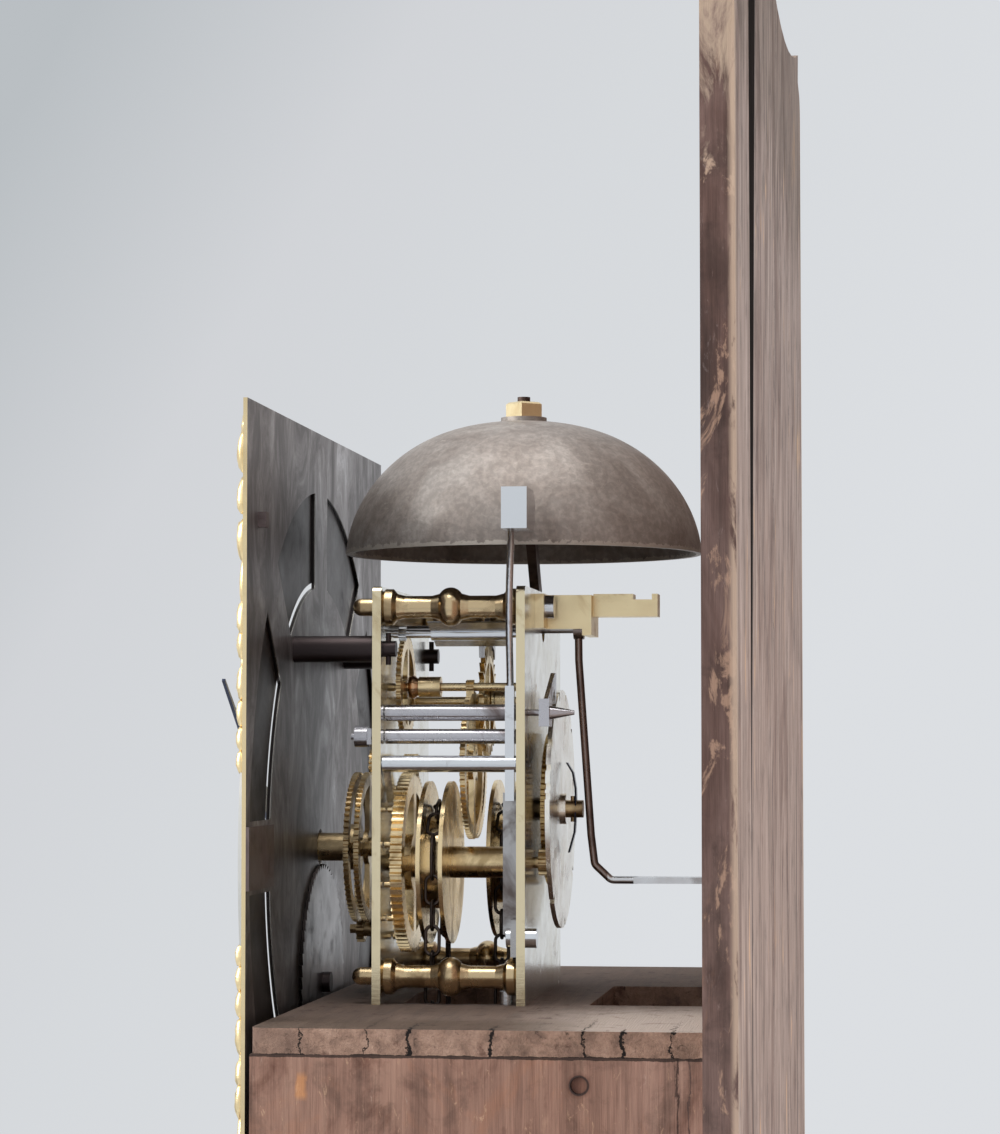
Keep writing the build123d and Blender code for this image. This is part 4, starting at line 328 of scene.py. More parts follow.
def seat_layers(tree):
    """Top dark with soot and painted shade under the dial and plates, greyed near the back edge, split orange end
    grain with crumbled pits, and a dark joint.
    """
    place = place_of(tree)
    spot = axes(tree, place)
    ragged = noise(tree, place, 120.0, 8.0, 0.68, 0.4)
    top = over(tree, facing(tree)["Z"], 0.4, 0.6)
    grey = over(tree, math(tree, "MULTIPLY_ADD", ragged, 0.03, spot["Y"]), 0.035, 0.075)
    near = over(tree, math(tree, "MULTIPLY_ADD", ragged, 0.05, spot["X"]), 0.070, 0.120)
    rim = both(tree, top, over(tree, math(tree, "MULTIPLY_ADD", ragged, 0.03, spot["X"]), 0.128, 0.152))
    rim = both(tree, rim, over(tree, spot["Y"], 0.060, 0.030))
    pits = over(tree, noise(tree, place, 260.0, 6.0, 0.66, 0.8), 0.62, 0.68)
    # The first layer darkens the whole top, partly soot and partly painted shade under the dial and plates.
    layers = [
        (math(tree, "MULTIPLY", top, 0.78), (0.135, 0.107, 0.091), "MIX"),
        (math(tree, "MULTIPLY", both(tree, top, both(tree, grey, near)), 0.85), (0.50, 0.425, 0.375), "MIX"),
        (rim, (0.62, 0.60, 0.56), "MULTIPLY"),
        (over(tree, ragged, 0.42, 0.34), (0.55, 0.50, 0.50), "MULTIPLY"),
        (math(tree, "MULTIPLY", pits, 0.6), (0.04, 0.026, 0.02), "MIX"),
    ]
    wander = math(tree, "MULTIPLY_ADD", noise(tree, place, 210.0, 7.0, 0.72), 0.0085, -0.00425)
    for y, half, run in SPLITS:
        off = apart(tree, math(tree, "ADD", spot["Y"], wander), y * MM)
        depth = over(tree, spot["X"], 0.165 - run * MM, 0.166)
        inside = math(tree, "LESS_THAN", off, math(tree, "MULTIPLY", depth, half * MM))
        layers.append((inside, (0.012, 0.008, 0.007), "MIX"))
    joint = math(tree, "MULTIPLY_ADD", ragged, 0.0022, -0.0008)
    joint = math(tree, "LESS_THAN", math(tree, "SUBTRACT", spot["Z"], SEAT - 0.009), joint)
    layers.append((math(tree, "MULTIPLY", joint, 0.9), (0.012, 0.008, 0.007), "MIX"))
    return layers


dress(
    overlay(
        wood(
            "seat_wood", "X", (0.20, 0.125, 0.095), (0.36, 0.225, 0.165), (0.46, 0.30, 0.225),
            (0.50, 0.33, 0.22), 0.85, 0.64, None, 0.9,
        ),
        seat_layers,
    ),
    "seatboard",
)


def side_layers(tree):
    """A plugged nail hole, an orange rub, two fine shakes and a dark joint at the top."""
    place = place_of(tree)
    spot = axes(tree, place)
    ragged = noise(tree, stretched(tree, place, (1.0, 1.0, 0.4)), 150.0, 7.0, 0.68, 0.5)
    warped = math(tree, "MULTIPLY_ADD", ragged, 0.006, spot["Y"])
    across = apart(tree, spot["Y"], 0.0523)
    along = apart(tree, spot["Z"], SEAT - 0.0183)
    round_plug = math(tree, "POWER", math(tree, "ADD", both(tree, across, across), both(tree, along, along)), 0.5)
    rub = both(tree, over(tree, apart(tree, warped, -0.0401), 0.0022, 0.0008),
               over(tree, apart(tree, spot["Z"], SEAT - 0.0197), 0.0052, 0.0030))
    stain = noise(tree, stretched(tree, place, (1.0, 1.0, 0.55)), 24.0, 8.0, 0.68, 0.9)
    fleck = noise(tree, stretched(tree, place, (1.0, 1.0, 0.34)), 330.0, 8.0, 0.74, 0.9)
    joint = math(tree, "MULTIPLY_ADD", ragged, -0.0016, SEAT - 0.0090)
    joint = math(tree, "GREATER_THAN", spot["Z"], joint)
    return [
        (over(tree, warped, 0.058, 0.078), (1.18, 1.26, 1.32), "MULTIPLY"),
        (over(tree, stain, 0.52, 0.64), (0.52, 0.43, 0.40), "MULTIPLY"),
        (over(tree, stain, 0.46, 0.38), (1.10, 1.02, 0.94), "MULTIPLY"),
        (math(tree, "MULTIPLY", over(tree, fleck, 0.60, 0.66), 0.6), (0.58, 0.37, 0.24), "MIX"),
        (over(tree, round_plug, 0.0048, 0.0030), (0.60, 0.50, 0.47), "MULTIPLY"),
        (over(tree, apart(tree, round_plug, 0.0031), 0.0006, 0.0002), (0.05, 0.03, 0.025), "MIX"),
        (math(tree, "MULTIPLY", rub, 0.7), (0.56, 0.25, 0.10), "MIX"),
        (over(tree, apart(tree, warped, 0.0885), 0.0006, 0.0002), (0.07, 0.04, 0.032), "MIX"),
        (over(tree, apart(tree, warped, 0.0925), 0.0004, 0.0001), (0.10, 0.06, 0.05), "MIX"),
        (math(tree, "MULTIPLY", joint, 0.85), (0.02, 0.012, 0.010), "MIX"),
    ]


dress(
    overlay(
        wood(
            "side_wood", "Z", (0.200, 0.110, 0.080), (0.310, 0.172, 0.126), (0.385, 0.225, 0.165),
            (0.48, 0.29, 0.20), 0.62, 0.66, (0.42, 0.29, 0.23), 0.35,
        ),
        side_layers,
    ),
    "side_boards",
)
dress(
    wood(
        "waxed_oak", "Z", (0.05, 0.024, 0.014), (0.13, 0.062, 0.034), (0.21, 0.105, 0.055),
        (0.25, 0.13, 0.07), 0.38, 0.75, None, 0.2,
    ),
    "trunk_front", "trunk_door", "base_box",
)
dress(
    wood(
        "waxed_oak_rail", "X", (0.05, 0.024, 0.014), (0.13, 0.062, 0.034), (0.21, 0.105, 0.055),
        (0.25, 0.13, 0.07), 0.36, 0.75, None, 0.2,
    ),
    "skirting", "case_mouldings",
)


# Metals: brass, steel and iron, each with fine scratches, smudges and darker old patches.

def build_wear(tree, ports):
    """Smudges, old tarnish, fine scratches and the height of hammering and casting."""
    smudge = noise(tree, ports["Vector"], 95.0, 5.0, 0.6, 0.4)
    tarnish = noise(tree, ports["Vector"], 38.0, 7.0, 0.62, 0.8)
    across = stretched(tree, ports["Vector"], (1.0, 0.08, 1.0))
    scratch = noise(tree, across, 1500.0, 3.0, 0.6)
    cast = noise(tree, ports["Vector"], 420.0, 5.0, 0.6, 0.3)
    return {"Smudge": smudge, "Tarnish": tarnish, "Scratch": scratch, "Cast": cast}


WEAR_EFFECT = group(
    "metal_wear", [("Vector", "NodeSocketVector")],
    [(key, "NodeSocketFloat") for key in ("Smudge", "Tarnish", "Scratch", "Cast")],
    build_wear,
)


def metal(name, clean, old, rough, rough_old, old_from=0.5, relief=0.15, cast=0.0, spread=0.14):
    """A metal that runs from clean to old where the tarnish mask is high."""
    made, tree, shader = material(name)
    marks = use(tree, WEAR_EFFECT, {"Vector": place_of(tree)})
    aged = ramp(tree, marks["Tarnish"], [(old_from, 0.0), (old_from + spread, 1.0)])
    tree.links.new(blend(tree, aged, clean, old), shader.inputs["Base Color"])
    gloss = math(tree, "MULTIPLY_ADD", marks["Smudge"], 0.22, rough - 0.11)
    gloss = math(tree, "MULTIPLY_ADD", aged, rough_old - rough, gloss, clamp=True)
    tree.links.new(gloss, shader.inputs["Roughness"])
    shader.inputs["Metallic"].default_value = 1.0
    height = math(tree, "MULTIPLY_ADD", marks["Cast"], cast, math(tree, "MULTIPLY", marks["Scratch"], 1.0))
    tree.links.new(bump(tree, height, relief, 0.0002), shader.inputs["Normal"])
    return made


BRASS = (0.84, 0.68, 0.41)
BRASS_OLD = (0.45, 0.32, 0.17)
STEEL = (0.74, 0.76, 0.79)
STEEL_OLD = (0.20, 0.17, 0.155)
IRON = (0.115, 0.095, 0.088)
IRON_OLD = (0.05, 0.036, 0.032)

polished_brass = metal("polished_brass", BRASS, BRASS_OLD, 0.19, 0.34, 0.54)
wheel_brass = metal("wheel_brass", (0.90, 0.71, 0.42), (0.52, 0.38, 0.20), 0.26, 0.36, 0.50)
satin_brass = metal("satin_brass", (0.95, 0.79, 0.49), (0.76, 0.58, 0.32), 0.36, 0.44, 0.54, 0.3, 0.5)
worn_brass = metal("worn_brass", (0.64, 0.49, 0.28), (0.26, 0.18, 0.10), 0.27, 0.42, 0.46)
polished_steel = metal("polished_steel", STEEL, STEEL_OLD, 0.22, 0.38, 0.60)
worn_steel = metal("worn_steel", (0.46, 0.45, 0.45), (0.18, 0.15, 0.14), 0.30, 0.46, 0.50)
black_iron = metal("black_iron", IRON, IRON_OLD, 0.46, 0.62, 0.46, 0.3, 0.8)
brown_iron = metal("brown_iron", (0.15, 0.11, 0.095), (0.06, 0.04, 0.034), 0.5, 0.66, 0.46, 0.35, 0.8)
blued_steel = metal("blued_steel", (0.045, 0.055, 0.09), (0.03, 0.03, 0.045), 0.24, 0.36, 0.55)
grey_lead = metal("grey_lead", (0.22, 0.22, 0.23), (0.12, 0.12, 0.125), 0.6, 0.7, 0.48, 0.4, 1.0)
gilt = metal("gilt", (1.0, 0.80, 0.46), (0.86, 0.62, 0.30), 0.36, 0.44, 0.55, 0.35, 0.9)

pillar_brass = metal("pillar_brass", (0.64, 0.49, 0.29), (0.32, 0.22, 0.12), 0.25, 0.38, 0.50)
dress(pillar_brass, "pillars")
dress(satin_brass, "back_cock", "bell_nut")
dress(
    wheel_brass,
    "going_great_wheel", "second_wheel", "strike_great_wheel", "strike_second_wheel",
    "warning_wheel", "escape_wheel", "going_chain_wheel", "strike_chain_wheel",
)
dress(worn_brass, "minute_wheel", "reverse_wheel", "hour_wheel", "case_hinges", "door_hinges")
grey_steel = metal("grey_steel", (0.54, 0.53, 0.56), (0.20, 0.165, 0.16), 0.26, 0.40, 0.54)
dress(polished_steel, "hammer", "movement_screws", "fly")
dress(grey_steel, "locking_lever", "lifting_lever")
dress(worn_steel, "anchor", "lock_bolt", "hammer_spring", "pendulum_bracket")
dress(brown_iron, "bell_stand")
dress(black_iron, "chain_loops", "strike_weight_chain", "going_weight_chain")
dress(black_iron, "strike_counter_chain", "going_counter_chain", "pendulum_rod", "door_lock")
dress(blued_steel, "minute_hand", "hour_hand")
dress(grey_lead, "strike_weight", "going_weight", "strike_counterweight", "going_counterweight")
dress(gilt, "spandrels")
dress(worn_brass, "wheel_posts", "pendulum_bob")


# Movement plates: cast brass with bright yellow edges and broad faces polished pale.

def part_metal(name, clean, old, other, other_old, rough, pick):
    """Two metals on one piece: pick gets the tree, place and normal and returns the other's share."""
    made = metal(name, clean, old, rough, rough + 0.12, 0.56)
    tree = made.node_tree
    shader = tree.nodes["Principled BSDF"]
    first = shader.inputs["Base Color"].links[0].from_socket
    place = place_of(tree)
    facing = add(tree, "ShaderNodeNewGeometry").outputs["Normal"]
    share = pick(
        tree, add(tree, "ShaderNodeSeparateXYZ", {"Vector": place}).outputs,
        add(tree, "ShaderNodeSeparateXYZ", {"Vector": facing}).outputs,
    )
    aged = ramp(tree, noise(tree, place, 60.0, 6.0, 0.62, 0.6), [(0.5, 0.0), (0.66, 1.0)])
    second = blend(tree, aged, other, other_old)
    tree.links.new(blend(tree, share, first, second), shader.inputs["Base Color"])
    return made


def facing_along(tree, place, facing):
    """One on faces that look to the front or back."""
    return math(tree, "GREATER_THAN", math(tree, "ABSOLUTE", facing["Y"]), 0.6)


dress(
    part_metal(
        "plate_brass", (0.79, 0.68, 0.46), (0.56, 0.43, 0.24), (0.80, 0.78, 0.72),
        (0.70, 0.66, 0.56), 0.20, facing_along,
    ),
    "front_plate", "back_plate",
)


# Count wheel: a dark toothed wheel riveted to a thin notched disc with a pale polished face.

def behind_teeth(tree, place, facing):
    """One on the notched disc behind the toothed wheel."""
    return math(tree, "GREATER_THAN", place["Y"], 26.92 * MM)


dress(
    part_metal(
        "count_brass", (0.50, 0.36, 0.17), (0.20, 0.13, 0.06), (0.98, 0.95, 0.88),
        (0.84, 0.78, 0.66), 0.24, behind_teeth,
    ),
    "count_wheel",
)


# Crutch: dark iron wire whose end is drawn out flat and polished where it meets the pendulum.

def crutch_end(tree, place, facing):
    """One on the flat end that runs back to the pendulum."""
    return math(tree, "GREATER_THAN", place["Y"], 46.5 * MM)


dress(
    part_metal(
        "crutch_iron", (0.27, 0.22, 0.20), (0.13, 0.10, 0.09), (0.72, 0.73, 0.75),
        (0.42, 0.40, 0.40), 0.30, crutch_end,
    ),
    "crutch",
)


# Dial feet and patch: near black iron feet, and a brown sheet patch riveted at the dial's edge.

def patch_area(tree, place, facing):
    """One on the patch at the right edge of the dial."""
    return math(tree, "GREATER_THAN", place["X"], 0.095)


dress(
    part_metal(
        "foot_iron", (0.060, 0.047, 0.047), (0.028, 0.021, 0.023), (0.20, 0.155, 0.15),
        (0.12, 0.09, 0.085), 0.44, patch_area,
    ),
    "dial_fittings",
)


# Chapter ring: brass silvered on its face, and painted near black behind as shade in the hollow seen through the
# dial's openings.

def looking_back(tree, place, facing):
    """One on faces that look to the back."""
    return math(tree, "GREATER_THAN", facing["Y"], 0.5)


# Faces that look back are painted near black: painted shade in the hollow behind the dial's openings.
dress(
    part_metal(
        "silvered_brass", (0.74, 0.73, 0.69), (0.50, 0.46, 0.39), (0.070, 0.062, 0.062),
        (0.040, 0.035, 0.036), 0.42, looking_back,
    ),
    "chapter_ring",
)


# Bell: cast bell metal, unpolished, brown-grey with pale scuffs and a painted sheen along its rim with a ragged,
# chipped edge.

def bell_metal():
    """Mottled cast bell metal, with a pale painted sheen along its rim."""
    made, tree, shader = material("bell_metal")
    place = place_of(tree)
    marks = use(tree, WEAR_EFFECT, {"Vector": place})
    height = add(tree, "ShaderNodeSeparateXYZ", {"Vector": place}).outputs["Z"]
    colour = ramp(
        tree, marks["Tarnish"],
        [(0.32, (0.215, 0.178, 0.155)), (0.5, (0.305, 0.265, 0.238)), (0.66, (0.39, 0.35, 0.32))],
    )
    speck = ramp(tree, marks["Cast"], [(0.42, 0.72), (0.62, 1.0)])
    colour = blend(tree, 0.8, colour, speck, "MULTIPLY")
    scuffs = noise(tree, stretched(tree, place, (1.0, 1.0, 2.4)), 130.0, 8.0, 0.72, 1.4)
    colour = blend(
        tree, ramp(tree, scuffs, [(0.60, 0.0), (0.70, 0.45)]), colour, (0.50, 0.46, 0.41)
    )
    # A pale band along the rim below a ragged line: a painted sheen.
    rim = math(tree, "MULTIPLY_ADD", height, 1.0, -(SEAT + 0.1713))
    ragged_sheen = math(tree, "MULTIPLY_ADD", marks["Cast"], 0.0050, -0.0012)
    edge = math(tree, "LESS_THAN", rim, ragged_sheen)
    colour = blend(tree, math(tree, "MULTIPLY", edge, 0.5), colour, (0.55, 0.50, 0.43))
    tree.links.new(colour, shader.inputs["Base Color"])
    shader.inputs["Metallic"].default_value = 0.45
    gloss = math(tree, "MULTIPLY_ADD", marks["Smudge"], 0.30, 0.36)
    tree.links.new(gloss, shader.inputs["Roughness"])
    tree.links.new(bump(tree, marks["Cast"], 0.35, 0.0004), shader.inputs["Normal"])
    return made


dress(bell_metal(), "bell")


# Dial plate: a brass casting, scraped and streaked grey behind, polished on edges and front.

def dial_metal():
    """Scraped grey on faces that look back, darker towards the bottom as a painted reflection of the dark board,
    painted shade dark inside the openings, brass on the rest.
    """
    made, tree, shader = material("dial_brass")
    place = place_of(tree)
    marks = use(tree, WEAR_EFFECT, {"Vector": place})
    streak = noise(tree, stretched(tree, place, (1.0, 1.0, 0.55)), 46.0, 10.0, 0.68, 1.0)
    fine = noise(tree, stretched(tree, place, (1.0, 1.0, 0.22)), 420.0, 5.0, 0.6, 0.3)
    grey = ramp(
        tree, streak,
        [(0.32, (0.085, 0.072, 0.072)), (0.44, (0.155, 0.138, 0.137)), (0.54, (0.275, 0.255, 0.255)),
         (0.63, (0.40, 0.385, 0.39)), (0.70, (0.66, 0.655, 0.67))],
    )
    grey = blend(tree, 0.5, grey, ramp(tree, fine, [(0.36, 0.62), (0.60, 1.0)]), "MULTIPLY")
    spot = axes(tree, place)
    # Darker towards the bottom of the back: a painted reflection of the dark board.
    low = over(tree, math(tree, "MULTIPLY_ADD", streak, 0.10, spot["Z"]), SEAT + 0.20, SEAT + 0.02)
    grey = blend(tree, math(tree, "MULTIPLY", low, 0.15), grey, (0.50, 0.45, 0.43), "MULTIPLY")
    back = math(tree, "GREATER_THAN", facing(tree)["Y"], 0.5)
    clean = blend(tree, ramp(tree, marks["Tarnish"], [(0.5, 0.0), (0.66, 0.35)]), BRASS, BRASS_OLD)
    # The walls of the openings are painted near black as shade in the hollow near the front face, and pale behind
    # that.
    wide = math(tree, "LESS_THAN", math(tree, "ABSOLUTE", spot["X"]), 0.1440)
    high = math(tree, "LESS_THAN", spot["Z"], SEAT + 0.2185)
    wall = math(tree, "LESS_THAN", math(tree, "ABSOLUTE", facing(tree)["Y"]), 0.5)
    inside = both(tree, both(tree, wide, high), wall)
    arris = over(tree, spot["Y"], -0.06745, -0.06730)
    shade = blend(tree, arris, (0.035, 0.030, 0.030), (0.62, 0.60, 0.56))
    clean = blend(tree, inside, clean, shade)
    tree.links.new(blend(tree, back, clean, grey), shader.inputs["Base Color"])
    shader.inputs["Metallic"].default_value = 0.9
    gloss = math(tree, "MULTIPLY_ADD", back, 0.20, 0.24)
    tree.links.new(gloss, shader.inputs["Roughness"])
    tree.links.new(bump(tree, streak, 0.3, 0.0006), shader.inputs["Normal"])
    return made


dress(dial_metal(), "dial_plate")


# Calendar disc: a thin brass disc with ratchet teeth, scraped grey behind, dark on the tooth tips.

dress(
    part_metal(
        "calendar_brass", (0.07, 0.058, 0.055), (0.03, 0.025, 0.024), (0.29, 0.27, 0.27),
        (0.10, 0.088, 0.088), 0.34, looking_back,
    ),
    "calendar_disc",
)


# Chains: iron wire bent into long oval links, each turned a quarter from its neighbours. Each
# chain lies in the groove of its wheel and hangs on both sides to its weight and counterweight.

LINK_LENGTH = 12.2 * MM
LINK_WIDTH = 6.6 * MM
LINK_WIRE = 1.35 * MM
LINK_PITCH = LINK_LENGTH - 2 * LINK_WIRE
LINK_STEPS = 24
WIRE_STEPS = 8
WHEEL_HEIGHT = SEAT + 52 * MM
GREAT_X = 25 * MM
CHAIN_REACH = 21 * MM
STRIKE_CHAIN_Y = -15.6 * MM
GOING_CHAIN_Y = 4.5 * MM
WEIGHT_TOP = 1180 * MM
COUNTER_TOP = 560 * MM


def piece(name, bm, finish, body, smooth=True):
    """A finished mesh as a piece that rides on a body of the frame."""
    bmesh.ops.recalc_face_normals(bm, faces=bm.faces)
    mesh = bpy.data.meshes.new(name)
    bm.to_mesh(mesh)
    bm.free()
    if smooth:
        for face in mesh.polygons:
            face.use_smooth = True
    made = bpy.data.objects.new(name, mesh)
    made.data.materials.append(finish)
    bpy.context.scene.collection.objects.link(made)
    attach(made, body)
    return made


def ring_of(bm, centre, first, second, radius, steps):
    """A ring of vertices about a centre, spanned by two directions."""
    return [
        bm.verts.new(centre + radius * (cos(2 * pi * i / steps) * first + sin(2 * pi * i / steps) * second))
        for i in range(steps)
    ]


def skin(bm, first, second):
    """Faces between two rings of vertices."""
    for i in range(len(first)):
        j = (i + 1) % len(first)
        bm.faces.new((first[i], first[j], second[j], second[i]))


def add_link(bm, centre, along, across, wire=LINK_WIRE, length=LINK_LENGTH):
    """One oval link: straight sides joined by two half rounds."""
    side = across.cross(along)
    bend = (LINK_WIDTH - wire) / 2
    half = (length - LINK_WIDTH) / 2
    rings = []
    for step in range(LINK_STEPS):
        angle = 2 * pi * step / LINK_STEPS
        shift = half if cos(angle) >= 0 else -half
        out = cos(angle) * along + sin(angle) * across
        middle = centre + shift * along + bend * out
        rings.append(ring_of(bm, middle, out, side, wire / 2, WIRE_STEPS))
    for step in range(LINK_STEPS):
        skin(bm, rings[step], rings[(step + 1) % LINK_STEPS])


def hang_links(bm, x, y, top, bottom, face_on, wire=LINK_WIRE):
    """Links hanging straight down; face_on is the height of one that faces sideways."""
    count = int((face_on - bottom) / LINK_PITCH)
    height = face_on - count * LINK_PITCH
    step = -count
    while height <= top:
        across = Vector((0, 1, 0)) if step % 2 == 0 else Vector((1, 0, 0))
        add_link(bm, Vector((x, y, height)), Vector((0, 0, 1)), across, wire)
        height += LINK_PITCH
        step += 1


def wrap_links(bm, x, y):
    """Links that lie over the top half of a wheel."""
    count = int(pi * CHAIN_REACH / LINK_PITCH)
    for step in range(count):
        angle = pi * (step + 0.5) / count
        out = Vector((cos(angle), 0, sin(angle)))
        along = Vector((-sin(angle), 0, cos(angle)))
        across = Vector((0, 1, 0)) if step % 2 else out
        centre = Vector((x, y, WHEEL_HEIGHT)) + CHAIN_REACH * out
        add_link(bm, centre, along, across)


CHAINS = (
    ("strike", 1, STRIKE_CHAIN_Y, SEAT + 23.2 * MM, SEAT + 27.6 * MM),
    ("going", -1, GOING_CHAIN_Y, SEAT + 21.0 * MM, SEAT + 17.4 * MM),
)
wraps = bmesh.new()
for train, side, chain_y, near_face_on, far_face_on in CHAINS:
    weight_x = side * (GREAT_X + CHAIN_REACH)
    counter_x = side * (GREAT_X - CHAIN_REACH)
    wrap_links(wraps, side * GREAT_X, chain_y)

    fall = bmesh.new()
    hang_links(fall, weight_x, chain_y, WHEEL_HEIGHT, WEIGHT_TOP, near_face_on, LINK_WIRE * 0.97)
    hung = piece(train + "_weight_links", fall, black_iron, "case")
    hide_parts(train + "_weight_chain")

    run = bmesh.new()
    hang_links(run, weight_x, chain_y, WHEEL_HEIGHT - 12 * MM, WEIGHT_TOP, near_face_on)
    followed = piece(train + "_weight_run", run, black_iron, train + "_weight")

    rise = bmesh.new()
    hang_links(rise, counter_x, chain_y, WHEEL_HEIGHT, COUNTER_TOP, far_face_on)
    raised = piece(train + "_counter_links", rise, black_iron, "case")
    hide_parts(train + "_counter_chain")
    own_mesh(raised)
laid = piece("chain_wraps", wraps, black_iron, "case")
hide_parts("chain_loops")


# Spandrels: four gilt castings screwed to the corners of the dial, each a shell between
# scrolls with leaves that taper along the dial's edges.

DIAL_FRONT = -68.5 * MM
DIAL_CENTRE = SEAT + 56.9 * MM
RELIEF = 3.4 * MM
LUMP_STEPS = 10


def lump(bm, centre, half, turn=0.0, rough=0.12, seed=0):
    """A rounded cast swelling with slightly uneven sides, turned about the Y axis."""
    chance = random.Random(seed)
    spin = Matrix.Rotation(turn, 3, "Y")
    rings = []
    for row in range(1, LUMP_STEPS):
        polar = pi * row / LUMP_STEPS
        ring = []
        for col in range(LUMP_STEPS):
            angle = 2 * pi * col / LUMP_STEPS
            grow = 1 + rough * (chance.random() - 0.5)
            spot = Vector((
                half[0] * sin(polar) * cos(angle), half[1] * cos(polar), half[2] * sin(polar) * sin(angle),
            )) * grow
            ring.append(bm.verts.new(centre + spin @ spot))
        rings.append(ring)
    for first, second in zip(rings, rings[1:]):
        skin(bm, first, second)
    bm.faces.new(rings[0])
    bm.faces.new(rings[-1])


def cord_of(bm, points, radii, steps=8):
    """A round bar through points, with a radius at each."""
    rings = []
    for i, spot in enumerate(points):
        ahead = points[min(i + 1, len(points) - 1)]
        behind = points[max(i - 1, 0)]
        along = (ahead - behind).normalized()
        helper = Vector((0, 1, 0)) if abs(along.y) < 0.9 else Vector((1, 0, 0))
        first = along.cross(helper).normalized()
        rings.append(ring_of(bm, spot, first, along.cross(first), radii[i], steps))
    for first, second in zip(rings, rings[1:]):
        skin(bm, first, second)
    bm.faces.new(rings[0])
    bm.faces.new(rings[-1])


def dial_point(u, v, rise):
    """A point on the dial: u across and v up from its centre, rise towards the front."""
    return Vector((u * MM, DIAL_FRONT - rise, DIAL_CENTRE + v * MM))


SHELL_RIBS = 9
SHELL_SEAT = (116.0, 128.0)


def scroll(bm, flip, centre, start, end, first_angle, turns, thick):
    """A C-scroll that tightens from its start radius to its end radius."""
    points, radii = [], []
    steps = int(26 * abs(turns)) + 8
    for step in range(steps + 1):
        share = step / steps
        radius = start + (end - start) * share
        angle = first_angle + 2 * pi * turns * share
        u = centre[0] + radius * cos(angle)
        v = centre[1] + radius * sin(angle)
        points.append(dial_point(flip[0] * u, flip[1] * v, thick * 0.55 * MM))
        radii.append(thick * MM * (0.55 + 0.45 * sin(pi * min(share * 1.1, 1.0))))
    cord_of(bm, points, radii)


castings = bmesh.new()
for corner, flip in enumerate(((1, 1), (-1, 1), (1, -1), (-1, -1))):
    for rib in range(SHELL_RIBS):
        angle = radians(45 + (rib - (SHELL_RIBS - 1) / 2) * 16)
        reach = 19.0 - 0.55 * abs(rib - (SHELL_RIBS - 1) / 2)
        points, radii = [], []
        for step in range(9):
            share = step / 8
            u = SHELL_SEAT[0] + share * reach * cos(angle)
            v = SHELL_SEAT[1] + share * reach * sin(angle)
            points.append(dial_point(flip[0] * u, flip[1] * v, (0.6 + 1.5 * sin(pi * share)) * MM))
            radii.append((0.6 + 1.35 * share) * MM * (1.0 if share < 0.95 else 0.6))
        cord_of(castings, points, radii)
    lump(castings, dial_point(flip[0] * 115, flip[1] * 127, 1.4 * MM), (5 * MM, RELIEF * 0.6, 5 * MM), seed=corner)
    for centre, start, end, angle, turns, thick in (
        ((127.0, 97.0), 12.5, 3.5, radians(80), -1.35, 1.9),
        ((90.0, 143.0), 12.0, 3.5, radians(5), 1.35, 1.9),
        ((133.0, 70.0), 7.0, 2.0, radians(100), 1.2, 1.5),
        ((62.0, 150.0), 7.0, 2.0, radians(-10), -1.2, 1.5),
        ((101.0, 116.0), 7.0, 2.5, radians(135), 1.1, 1.4),
    ):
        scroll(castings, flip, centre, start, end, angle, turns, thick)
    for u, v, long, wide, turn in (
        (138.0, 143.0, 7.5, 3.2, 80), (138.4, 128.0, 7.0, 3.0, 100), (138.0, 112.0, 8.0, 3.2, 75),
        (138.6, 85.0, 6.5, 2.6, 96), (138.2, 75.0, 5.5, 2.6, 80), (138.8, 62.0, 6.5, 2.2, 92),
        (139.4, 51.0, 5.0, 2.0, 88), (139.8, 42.0, 4.5, 1.7, 91), (140.3, 34.0, 4.0, 1.3, 90),
        (128.0, 155.0, 7.5, 3.0, 8), (110.0, 155.6, 7.0, 2.8, -8), (75.0, 155.4, 7.0, 2.8, 6),
        (48.0, 156.0, 6.5, 2.4, -4), (37.0, 156.4, 5.5, 2.0, 3), (28.0, 156.8, 4.0, 1.5, 0),
        (103.0, 131.0, 6.0, 2.6, 45), (118.0, 112.0, 6.0, 2.6, 50), (131.0, 152.0, 6.0, 3.0, 45),
        (112.0, 101.5, 5.0, 2.0, 75), (84.0, 128.5, 5.0, 2.0, 15),
    ):
        lump(
            castings, dial_point(flip[0] * u, flip[1] * v, 1.3 * MM),
            (long * MM, (1.5 + 0.22 * wide) * MM, wide * MM), -flip[0] * flip[1] * radians(turn), 0.16,
            corner * 40 + int(u + v),
        )
cast = piece("spandrel_castings", castings, gilt, "case")
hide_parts("spandrels")


# Chapter ring: hours in roman strokes and a minute track, filled with black on silvered brass.

NUMERALS = ("I", "II", "III", "IIII", "V", "VI", "VII", "VIII", "IX", "X", "XI", "XII")
RING_FRONT = DIAL_FRONT - 1.5 * MM
NUMERAL_INNER = 108.5
NUMERAL_OUTER = 126.5
WAX_RISE = 0.06 * MM


def ring_point(radius, bearing):
    """A point on the face of the chapter ring; bearing is clockwise from the top."""
    return Vector((
        radius * MM * sin(bearing), RING_FRONT - WAX_RISE, DIAL_CENTRE + radius * MM * cos(bearing),
    ))


def stroke(bm, start, end, width):
    """A flat painted stroke between two points of the ring, given as radius and sideways mm."""
    (r0, s0, hour), (r1, s1, _) = start, end
    turn = 2 * pi * hour / 12
    first = Vector((s0, r0))
    second = Vector((s1, r1))
    along = (second - first).normalized()
    aside = Vector((-along.y, along.x)) * width / 2
    corners = []
    for spot in (first - aside, first + aside, second + aside, second - aside):
        corners.append(bm.verts.new(ring_point(hypot(*spot), turn + atan2(spot.x, spot.y))))
    bm.faces.new(corners)


